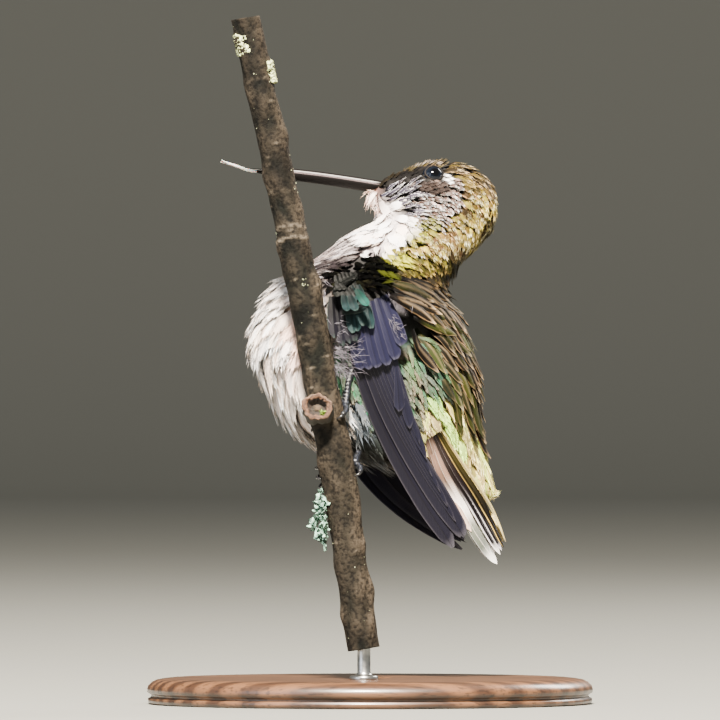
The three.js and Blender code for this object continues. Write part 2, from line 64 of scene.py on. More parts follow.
def linear(hex_colour: str) -> tuple[float, float, float]:
    """Turn an sRGB hex colour such as "7c8050" into linear red, green and blue from 0 to 1."""
    parts = (int(hex_colour[i:i + 2], 16) / 255 for i in (0, 2, 4))
    return tuple(c / 12.92 if c <= 0.04045 else ((c + 0.055) / 1.055) ** 2.4 for c in parts)


def rgba(hex_colour: str, gloss: float = 0.0) -> Array:
    """Return a vane's tint: linear red, green and blue, and its gloss."""
    return np.array([*linear(hex_colour), gloss])


def faded(colour: Array, other: Array, share: Array) -> Array:
    """Return tints faded into another one, by a share for each."""
    return colour + (other - colour) * share[..., None]


def plug(tree: Tree, node: Node, values: dict) -> Node:
    """Give a node's inputs, by name or number, each a socket to follow or a plain value.

    Args:
        tree: The node tree.
        node: The node.
        values: Input to socket or value.

    Returns:
        The same node.
    """
    for key, value in values.items():
        if isinstance(value, Socket):
            tree.links.new(value, node.inputs[key])
        else:
            node.inputs[key].default_value = value
    return node


def add(tree: Tree, kind: str, values: dict | None = None, **settings) -> Node:
    """Add one node.

    Args:
        tree: The node tree it goes into.
        kind: The node's class name.
        values: Input, by name or number, to a socket or a plain value.
        **settings: Properties of the node itself.

    Returns:
        The new node.
    """
    node = tree.nodes.new(kind)
    for key, value in settings.items():
        setattr(node, key, value)
    return plug(tree, node, values or {})


def tint_of(tree: Tree) -> Socket:
    """Return the colour that the mesh brings with it."""
    return add(tree, "ShaderNodeVertexColor", layer_name="Tint").outputs["Color"]


def place_of(tree: Tree) -> Socket:
    """Return the place on the model, in metres."""
    return add(tree, "ShaderNodeTexCoord").outputs["Object"]


def ramp(tree: Tree, source: Socket, stops: dict[float, str | float]) -> Socket:
    """Map a factor to colours or greys.

    Args:
        tree: The node tree.
        source: The factor.
        stops: Position to sRGB hex colour or to a grey from 0 to 1.

    Returns:
        The colour output.
    """
    node = add(tree, "ShaderNodeValToRGB", {"Fac": source})
    elements = node.color_ramp.elements
    while len(elements) < len(stops):
        elements.new(0.5)
    for element, (place, value) in zip(elements, sorted(stops.items())):
        element.position = place
        element.color = (*linear(value), 1) if isinstance(value, str) else (value, value, value, 1)
    return node.outputs["Color"]


def blend(tree: Tree, factor: float, first: Socket, second: Socket, how: str = "MIX") -> Socket:
    """Mix two colours, from the first at factor 0 to the second at 1."""
    return add(tree, "ShaderNodeMix", {0: factor, 6: first, 7: second}, data_type="RGBA",
               blend_type=how).outputs[2]


def mottle(tree: Tree, colour: Socket, grain: Socket, greys: dict[float, float]) -> Socket:
    """Darken a colour by a grain, through stops of grey."""
    return blend(tree, 1.0, colour, ramp(tree, grain, greys), "MULTIPLY")


def maths(tree: Tree, how: str, first: Socket | float, second: Socket | float = 0.0,
          third: float = 0.0) -> Socket:
    """Combine numbers by one operation."""
    return add(tree, "ShaderNodeMath", {0: first, 1: second, 2: third}, operation=how).outputs[0]


def noise(tree: Tree, period_mm: float, detail: float = 3, where: Socket | None = None) -> Socket:
    """Return noise whose largest blotches are so many mm wide, with so many octaves."""
    values = {"Vector": where or place_of(tree), "Scale": 1 / (period_mm * MM), "Detail": detail}
    return add(tree, "ShaderNodeTexNoise", values).outputs[0]


def bumped(tree: Tree, height: Socket, depth_mm: float, strength: float = 1.0) -> Socket:
    """Return the normal of a height whose full range is so many mm deep."""
    return add(tree, "ShaderNodeBump",
               {"Height": height, "Strength": strength, "Distance": depth_mm * MM}).outputs[0]


def new_material(name: str) -> tuple[Material, Tree, Node]:
    """Make a material.

    Args:
        name: Its name.

    Returns:
        The material, its tree and its shader.
    """
    material = bpy.data.materials.new(name)
    material.use_nodes = True
    tree = material.node_tree
    return material, tree, tree.nodes["Principled BSDF"]


@dataclass(frozen=True)
class FeatherFinish:
    """Keratin vanes: the tint comes with the mesh, and the barbs show as fine slanting lines."""

    name: str
    roughness: float = 0.62
    barb_mm: float = 0.26  # real barbs are finer, about 0.05 mm: drawn as bunches that still show
    contrast: float = 0.22
    bump_mm: float = 0.03
    shine: float = 0.08
    slant: float = 1.4

    def material(self) -> Material:
        """Build the material.

        Returns:
            The finish, ready to use.
        """
        material, tree, shader = new_material(self.name)
        tint = add(tree, "ShaderNodeVertexColor", layer_name="Tint")
        place = add(tree, "ShaderNodeUVMap", uv_map="Vane").outputs[0]
        split = add(tree, "ShaderNodeSeparateXYZ", {0: place})
        across = maths(tree, "ABSOLUTE", split.outputs[0])
        slanted = maths(tree, "SUBTRACT", split.outputs[1], maths(tree, "MULTIPLY", across, self.slant))
        waver = noise(tree, 0.9, 2)
        phase = maths(tree, "ADD", maths(tree, "DIVIDE", slanted, self.barb_mm / 6.283),
                      maths(tree, "MULTIPLY", waver, 9))
        barbs = maths(tree, "MULTIPLY_ADD", maths(tree, "SINE", phase), 0.5, 0.5)
        colour = mottle(tree, tint.outputs["Color"], barbs, {0.0: 1 - self.contrast, 0.75: 1.0})
        rough = maths(tree, "MULTIPLY_ADD", tint.outputs["Alpha"], -0.28, self.roughness)
        plug(tree, shader, {
            "Base Color": colour, "Roughness": rough,
            "Metallic": maths(tree, "MULTIPLY", tint.outputs["Alpha"], 0.7),
            "IOR": 1.54, "Specular IOR Level": self.shine,
            "Normal": bumped(tree, barbs, self.bump_mm, 0.6)})
        return material


@dataclass(frozen=True)
class SkinFinish:
    """Thin skin and the grey down next to it, marked like the feathers above it."""

    name: str = "skin_and_down"

    def material(self) -> Material:
        """Build the material.

        Returns:
            The finish, ready to use.
        """
        material, tree, shader = new_material(self.name)
        tint = tint_of(tree)
        down = noise(tree, 0.35, 4)
        colour = mottle(tree, tint, down, {0.3: 0.5, 0.7: 0.95})
        plug(tree, shader, {"Base Color": colour, "Roughness": 0.85, "IOR": 1.45,
                                  "Normal": bumped(tree, down, 0.12)})
        return material


@dataclass(frozen=True)
class PlainFinish:
    """A finish of one main colour mottled by noise at a real scale."""

    name: str
    dark: str
    light: str
    roughness: float
    grain_mm: float
    bump_mm: float
    ior: float = 1.5
    coat: float = 0.0
    metallic: float = 0.0

    def material(self) -> Material:
        """Build the material.

        Returns:
            The finish, ready to use.
        """
        material, tree, shader = new_material(self.name)
        grain = noise(tree, self.grain_mm, 4)
        plug(tree, shader, {
            "Base Color": ramp(tree, grain, {0.32: self.dark, 0.68: self.light}),
            "Roughness": maths(tree, "ADD", maths(tree, "MULTIPLY", grain, 0.12), self.roughness - 0.06),
            "Metallic": self.metallic, "Coat Weight": self.coat, "Coat Roughness": 0.05,
            "Normal": bumped(tree, noise(tree, self.grain_mm * 0.4, 5), self.bump_mm)})
        if not self.metallic:
            plug(tree, shader, {"IOR": self.ior})
        return material


# ------------------------------------------------------------------ the bird's pose, in mm as in the solids


@dataclass(frozen=True)
class Pose:
    """Where the bird's mid-plane and head lie: the same sizes as the solids."""

    yaw: float = math.radians(18)
    lean: float = math.tan(math.radians(9))
    lean_height: float = 43.0
    head_pitch: float = math.radians(7.6)
    head_roll: float = math.radians(26)
    head_x: float = 9.2
    head_z: float = 65.5
    head_cut: tuple[float, float, float] = (8.0, 61.8, -0.18)  # x, z and slope of the cut under the head

    def mid_y(self, x: Array, z: Array) -> Array:
        """Return y on the mid-plane at x and z."""
        return (z - self.lean_height) * self.lean + x * math.tan(self.yaw)

    def beyond(self, points: Array) -> Array:
        """Return how far in y points lie beyond the mid-plane, on the bird's right."""
        return points[..., 1] - self.mid_y(points[..., 0], points[..., 2])

    @property
    def lateral(self) -> Array:
        """Return the direction to the bird's right, square to its mid-plane and as long as one mm of y."""
        return np.array([-math.tan(self.yaw), 1.0, -self.lean])

    def on_left(self, x: Array, z: Array, reach: Array) -> Array:
        """Return points on the bird's left, so far out from the mid-plane."""
        y = self.mid_y(x, z) - reach * np.linalg.norm(self.lateral)
        return np.stack(np.broadcast_arrays(x, y, z), -1)

    def mirrored(self, points: Array) -> Array:
        """Return points seen through the mid-plane.

        Args:
            points: Points in mm.

        Returns:
            Their images.
        """
        n = self.lateral
        return points - 2 * self.beyond(points)[..., None] * n / (n @ n)

    def mirrored_direction(self, directions: Array) -> Array:
        """Return directions seen through the mid-plane."""
        n = self.lateral / np.linalg.norm(self.lateral)
        return directions - 2 * (directions @ n)[..., None] * n

    @property
    def head_centre(self) -> Array:
        """Return the middle of the head."""
        return np.array([self.head_x, self.mid_y(self.head_x, self.head_z), self.head_z])

    @property
    def head_axes(self) -> Array:
        """Return the head's forward, left and up directions as columns.

        Returns:
            The three directions, 3 x 3.
        """
        cp, sp, cy, sy = (f(a) for a in (self.head_pitch, self.yaw) for f in (math.cos, math.sin))
        forward = np.array([-cp * cy, -cp * sy, sp])
        right = np.array([-sy, cy, 0.0])
        up = np.cross(right, forward) * math.cos(self.head_roll) + right * math.sin(self.head_roll)
        return np.stack([forward, np.cross(up, forward), up], 1)

    def in_head(self, forward: Array, left: Array, up: Array) -> Array:
        """Return points given in the head's own frame."""
        local = np.stack(np.broadcast_arrays(forward, left, up), -1)
        return self.head_centre + local @ self.head_axes.T

    def to_head(self, points: Array) -> Array:
        """Return points in the head's own frame: forward, left, up."""
        return (points - self.head_centre) @ self.head_axes

    def above_head_cut(self, points: Array) -> Array:
        """Say which points belong to the head."""
        x, z, slope = self.head_cut
        return points[..., 2] > z + slope * (points[..., 0] - x)

    def near_side(self, points: Array) -> tuple[Array, Array]:
        """Fold both sides onto the left one, as seen from -Y.

        Args:
            points: Points on the bird.

        Returns:
            x and z of each point or its mirror image, and +1 on the left or -1 on the right.
        """
        local = self.to_head(points)
        is_head = self.above_head_cut(points)
        off = self.beyond(points)
        side = np.where(is_head, np.where(local[:, 1] >= 0, 1, -1), np.where(off <= 0, 1, -1))
        folded_head = self.in_head(local[:, 0], np.abs(local[:, 1]), local[:, 2])
        folded = np.where(is_head[:, None], folded_head,
                          np.where((off > 0)[:, None], self.mirrored(points), points))
        return folded[:, [0, 2]], side

    def to_side(self, directions: Array, points: Array, side: Array) -> Array:
        """Turn directions meant for the left side to the side that each point is on.

        Args:
            directions: Directions on the left side.
            points: Where they stand.
            side: +1 left, -1 right.

        Returns:
            The turned directions.
        """
        flip = self.head_axes * np.array([1, -1, 1]) @ self.head_axes.T
        headed = np.where(self.above_head_cut(points)[:, None], directions @ flip,
                          self.mirrored_direction(directions))
        return np.where((side > 0)[:, None], directions, headed)


POSE = Pose()
WING_REACH = ((5.0,), (5.6,), (6.4,), (7.5,), (8.9,), (10.2,), (10.75,), (10.5,), (9.4,))  # from z = 18 to 58


# ------------------------------------------------------------------ meshes


def in_scene(name: str, data: bpy.types.ID) -> bpy.types.Object:
    """Put a mesh, a lamp or a camera into the scene.

    Args:
        name: The object's name.
        data: What it shows.

    Returns:
        The object.
    """
    thing = bpy.data.objects.new(name, data)
    bpy.context.scene.collection.objects.link(thing)
    return thing


def mesh_piece(name: str, verts_mm: Array, faces: Array, material: Material, slot: str,
               replaces: tuple[str, ...] = (), tint: Array | None = None, uv: Batch | None = None,
               sharp: Array | None = None) -> bpy.types.Object:
    """Make one visible piece from arrays and put it on the model.

    Args:
        name: Piece name.
        verts_mm: Vertices in mm.
        faces: Quads or triangles, one per row.
        material: Its finish.
        slot: The record's material slot; not used.
        replaces: Solids that it stands for.
        tint: Linear RGBA per vertex.
        uv: UV map name to coordinates per vertex.
        sharp: Flags of the vertices whose common edges stay sharp.

    Returns:
        The object.
    """
    mesh = bpy.data.meshes.new(name)
    count, corners = faces.shape
    mesh.vertices.add(len(verts_mm))
    mesh.vertices.foreach_set("co", (verts_mm * MM).astype(np.float32).ravel())
    mesh.loops.add(count * corners)
    mesh.loops.foreach_set("vertex_index", faces.astype(np.int32).ravel())
    mesh.polygons.add(count)
    mesh.polygons.foreach_set("loop_start", np.arange(0, count * corners, corners, dtype=np.int32))
    mesh.polygons.foreach_set("use_smooth", np.ones(count, dtype=bool))
    mesh.update(calc_edges=True)
    for map_name, coords in (uv or {}).items():
        layer = mesh.uv_layers.new(name=map_name)
        layer.uv.foreach_set("vector", coords[faces.ravel()].astype(np.float32).ravel())
    if tint is not None:
        layer = mesh.color_attributes.new("Tint", "FLOAT_COLOR", "POINT")
        layer.data.foreach_set("color", tint.astype(np.float32).ravel())
    if sharp is not None:
        ends = np.empty(len(mesh.edges) * 2, dtype=np.int32)
        mesh.edges.foreach_get("vertices", ends)
        flags = sharp[ends.reshape(-1, 2)].all(1)
        layer = mesh.attributes.new("sharp_edge", "BOOLEAN", "EDGE")
        layer.data.foreach_set("value", flags)
    mesh.materials.append(material)
    piece = in_scene(name, mesh)
    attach(piece, "root")
    if replaces:
        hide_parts(*replaces)
    LOG.info("%s: %d faces", name, count)
    return piece


def grid_faces(rows: int, columns: int, around: bool = False) -> Array:
    """Quads of a grid of vertices.

    Args:
        rows: Rows of vertices.
        columns: Vertices in a row.
        around: Whether the last column joins the first.

    Returns:
        Vertex indices, one quad per row.
    """
    r, c = np.meshgrid(np.arange(rows - 1), np.arange(columns if around else columns - 1), indexing="ij")
    n = (c + 1) % columns
    return np.stack([r * columns + c, r * columns + n, (r + 1) * columns + n, (r + 1) * columns + c],
                    -1).reshape(-1, 4)


def unit(v: Array) -> Array:
    """Return vectors scaled to length one."""
    return v / np.maximum(np.linalg.norm(v, axis=-1, keepdims=True), 1e-9)


def turns(sides: int) -> Array:
    """Return even angles once round."""
    return np.arange(sides) * 2 * math.pi / sides


def circle(angle: Array, one: Array, other: Array) -> Array:
    """Return directions at angles from one axis towards the other."""
    return np.cos(angle)[:, None] * one + np.sin(angle)[:, None] * other


def globe(polar: Array, sides: int) -> Array:
    """Return rings of directions at angles from +Z."""
    angle, level = turns(sides), np.sin(polar)[:, None]
    return np.stack([level * np.cos(angle), level * np.sin(angle), np.cos(polar)[:, None] * np.ones(sides)],
                    -1)


def ease(x: Array, low: float, high: float) -> Array:
    """Return a smooth step from 0 at low to 1 at high."""
    t = np.clip((x - low) / (high - low), 0, 1)
    return t * t * (3 - 2 * t)


def mirrored_marks(*right: float) -> Array:
    """Return marks on both sides of a shaft, and the shaft itself."""
    return np.array([*(-mark for mark in reversed(right)), 0, *right], float)


def along_shafts(share: Array, rows: int) -> Callable[[Array], Array]:
    """Make a reader of tables that hold rows along each shaft.

    Args:
        share: Shares of each shaft's length, feathers x any x any.
        rows: Rows along a shaft.

    Returns:
        A function from a table to its values at those shares.
    """
    place = share * (rows - 1)
    low = np.clip(np.floor(place).astype(int), 0, rows - 2)
    t = (place - low)[..., None]
    pick = np.arange(len(share))[:, None, None]
    return lambda table: table[pick, low] * (1 - t) + table[pick, low + 1] * t


@dataclass
class Vanes:
    """A batch of feathers of one make, as closed thin leaves laid along paths."""

    path: Array  # feathers x rows x 3, from root to tip, in mm
    normal: Array  # the same shape: up out of the coat
    left: Array  # feathers x rows: width of the vane to the left of the shaft
    right: Array
    root_uv: Array  # feathers x 2
    columns: Array  # where the vertices stand across it, from -1 to 1
    tip_cut: float  # how far the margins end before the shaft, as a share of the length
    camber: float
    thickness: float
    ridge: float = 0.0
    jag: float = 0.0
    seed: int = 1

    def build(self) -> Batch:
        """Lay out the leaves.

        Returns:
            verts, faces, sharp, vane (UV), bake (UV), and the shares along and across of each vertex.
        """
        count, rows, _ = self.path.shape
        cols = len(self.columns)
        rng = np.random.default_rng(self.seed)
        seg = np.linalg.norm(np.diff(self.path, axis=1), axis=2)
        run = np.concatenate([np.zeros((count, 1)), np.cumsum(seg, 1)], 1)
        length = run[:, -1]
        share = np.linspace(0, 1, rows)
        bow = 1 - np.sqrt(1 - np.minimum(np.abs(self.columns), 1.0) ** 2)
        along = share[None, :, None] * (1 - self.tip_cut * bow[None, None, :]) * np.ones((count, rows, cols))
        if self.jag:
            zig = rng.uniform(-1, 1, (count, cols)) * self.jag
            along[:, -1] = np.clip(along[:, -1] + zig, 0.5, 1.0)
        at = along_shafts(along, rows)
        centre, up = at(self.path), unit(at(self.normal))
        forward = unit(at(np.gradient(self.path, axis=1)))
        across = unit(np.cross(forward, up))
        width = np.where(self.columns < 0, at(self.left[..., None])[..., 0],
                         at(self.right[..., None])[..., 0])
        if self.jag:
            teeth = rng.uniform(-1, 1, (count, rows, cols)) * self.jag * 1.2
            width = width * (1 + np.where(np.abs(self.columns) > 0.99, teeth, 0))
        offset = self.columns * width
        shaft = np.abs(self.columns) < 0.01
        rise = -self.camber * np.abs(offset) ** 2 / np.maximum(width, 1e-3) + self.ridge * shaft
        top = centre + across * offset[..., None] + up * rise[..., None]
        inner = np.zeros((rows, cols), bool)
        inner[1:-1, 1:-1] = True
        bottom = top[:, inner] - up[:, inner] * self.thickness
        per = rows * cols + inner.sum()
        verts = np.concatenate([top.reshape(count, -1, 3), bottom], 1).reshape(-1, 3)
        upper = grid_faces(rows, cols)
        lookup = np.arange(rows * cols)
        lookup[inner.ravel()] = rows * cols + np.arange(inner.sum())
        lower = lookup[upper][:, ::-1]
        faces = (np.concatenate([upper, lower])[None]
                 + (np.arange(count) * per)[:, None, None]).reshape(-1, 4)
        under = inner.ravel()

        def full(values: Array) -> Array:
            """Return per-vertex values of the top leaf, with those of the bottom leaf after them."""
            flat = values.reshape(count, rows * cols, -1)
            return np.concatenate([flat, flat[:, under]], 1).reshape(count * per, -1)

        spread = np.broadcast_to(self.columns, (count, rows, cols))
        vane = full(np.stack([offset, along * length[:, None, None]], -1))
        patch = np.stack([spread, along * 2 - 1], -1) * 0.0015
        bake = full(patch) + np.repeat(self.root_uv, per, 0)
        edge = np.tile(np.concatenate([~under, np.zeros(under.sum(), bool)]), count)
        return {"verts": verts, "faces": faces, "sharp": edge, "vane": vane, "bake": bake,
                "along": full(along)[:, 0], "across": full(spread)[:, 0],
                "feather": np.repeat(np.arange(count), per)}


@dataclass
class Barbs:
    """Loose barbs of a batch of feathers: slender closed slivers that branch from each shaft."""

    path: Array
    normal: Array
    reach: Array  # feathers: longest half width in mm
    root_uv: Array
    per_side: int
    start: float  # share of the shaft that is bare
    sweep: float
    curl: float
    thickness: float
    base_share: float  # share of the reach that the vane already covers
    point: float  # how far the barbs shorten towards the tip
    seed: int

    def build(self) -> Batch:
        """Lay out the slivers.

        Returns:
            The same tables as a batch of vanes, with triangles.
        """
        count, rows, _ = self.path.shape
        rng = np.random.default_rng(self.seed)
        length = np.linalg.norm(np.diff(self.path, axis=1), axis=2).sum(1)[:, None, None]
        tangent = unit(np.gradient(self.path, axis=1))
        m = self.per_side * 2
        side = np.tile([1.0, -1.0], self.per_side)[None, :]
        u = np.repeat(np.linspace(self.start, 1, self.per_side), 2)[None, :] + rng.normal(0, 0.03, (count, m))
        u = np.clip(u, 0, 1)
        shape = np.clip(1 - self.point * ease(u, 0.35, 1.05), 0.1, 1) * (0.55 + 0.45 * ease(u, -0.1, 0.3))
        ell = self.reach[:, None] * shape * rng.uniform(0.72, 1.18, (count, m))
        sweep = self.sweep * rng.uniform(0.7, 1.35, (count, m)) * (1 + 1.2 * ease(u, 0.6, 1.0))
        lift = self.curl * rng.normal(0.3, 1.0, (count, m)) * ell
        inner = side * ell * self.base_share
        marks = []
        for part, out, up in ((0.0, 0.0, 0.0), (0.45, 0.66, 0.35), (1.0, 1.0, 1.0)):
            marks.append(np.stack([u + part * sweep * ell / length[..., 0],
                                   inner + side * ell * out * (1 - self.base_share), lift * up * up], -1))
        local = np.stack(marks, 2)  # feathers, barbs, stations, (share, across, up)
        at = along_shafts(np.clip(local[..., 0], 0, 1), rows)
        centre, forward, up = at(self.path), unit(at(tangent)), unit(at(self.normal))
        centre = centre + forward * (np.maximum(local[..., 0] - 1, 0) * length)[..., None]
        across = unit(np.cross(up, forward))
        camber = 0.22 * local[..., 1] ** 2 / np.maximum(self.reach[:, None, None], 1e-3)
        spine = centre + across * local[..., 1:2] + up * (local[..., 2] - camber)[..., None]
        run = unit(spine[:, :, 2] - spine[:, :, 0])[:, :, None]
        edge = unit(np.cross(up, run))
        girth = self.thickness * np.array([1.0, 0.8])[None, None, :, None]
        body, half = spine[:, :, :2], edge[:, :, :2] * girth / 2
        rings = [body + half, body - half, body - up[:, :, :2] * girth * 0.55]
        ring = np.stack(rings, 3).reshape(count, m, 6, 3)
        verts = np.concatenate([ring, spine[:, :, 2:3]], 2).reshape(-1, 3)
        pattern = [[0, 2, 1]]
        for i in range(3):
            j = (i + 1) % 3
            pattern += [[i, j, 3 + j], [i, 3 + j, 3 + i], [3 + i, 3 + j, 6]]
        faces = (np.array(pattern)[None] + (np.arange(count * m) * 7)[:, None, None]).reshape(-1, 3)
        station = np.array([0, 0, 0, 1, 1, 1, 2])
        along = np.clip(local[:, :, station, 0], 0, 1.2).ravel()
        out = (np.array([0.0, 0.66, 1.0])[station] * np.ones((count, m, 1))).ravel()
        feather = np.repeat(np.arange(count), m * 7)
        signed = out * np.repeat(np.tile(side, (count, 1)).ravel(), 7)
        patch = np.stack([signed, along * 1.6 - 1], -1) * 0.0014
        vane = np.stack([signed * 0.3, along], -1)
        return {"verts": verts, "faces": faces, "sharp": np.zeros(len(verts), bool), "vane": vane,
                "bake": patch + self.root_uv[feather], "along": along, "across": signed, "feather": feather}


def triangles(faces: Array) -> Array:
    """Return quads cut into triangles, and triangles as they are."""
    return faces if faces.shape[1] == 3 else np.concatenate([faces[:, [0, 1, 2]], faces[:, [0, 2, 3]]])


def dressed(name: str, parts: list[Batch], material: Material, slot: str,
            replaces: tuple[str, ...] = ()) -> None:
    """Join batches and put them on the model as one piece.

    Args:
        name: Piece name.
        parts: Tinted batches.
        material: Their finish.
        slot: The record's material slot.
        replaces: Solids that they stand for.
    """
    start = np.cumsum([0] + [len(p["verts"]) for p in parts])
    faces = np.concatenate([triangles(p["faces"]) + s for p, s in zip(parts, start)])
    verts, sharp, vane, bake, tint = (np.concatenate([p[key] for p in parts])
                                      for key in ("verts", "sharp", "vane", "bake", "tint"))
    mesh_piece(name, verts, faces, material, slot, replaces, tint=tint, uv={"Vane": vane, "OFBake": bake},
               sharp=sharp)


# ------------------------------------------------------------------ the coat


class Make(Enum):
    """The kinds of contour feather."""

    SCALE = "small rounded scale"
    WEBBED = "soft scale with loose barbs at its edge"
    LANCE = "long pointed mantle feather"
    PLUME = "loose downy feather"


@dataclass(frozen=True)
class Zone:
    """One kind of feather and where it grows: spots of x, z and reach in mm on the bird's left side."""

    name: str
    make: Make
    spots: tuple[tuple[float, float, float], ...]
    length: float
    width: float
    spacing: float
    base: str
    edge: str
    tip: str
    # the colour at the base of each feather: its down, darkened as painted shade where the feathers above
    # overlap it
    root: str
    gloss: float = 0.0
    vary: float = 0.14
    lift: float = 0.12
    barbs: int = 6
    depth: float = 0.7
    accent: str | None = None
    accent_gloss: float = 0.0
    over: bool = False  # these lie over the wing's upper edge


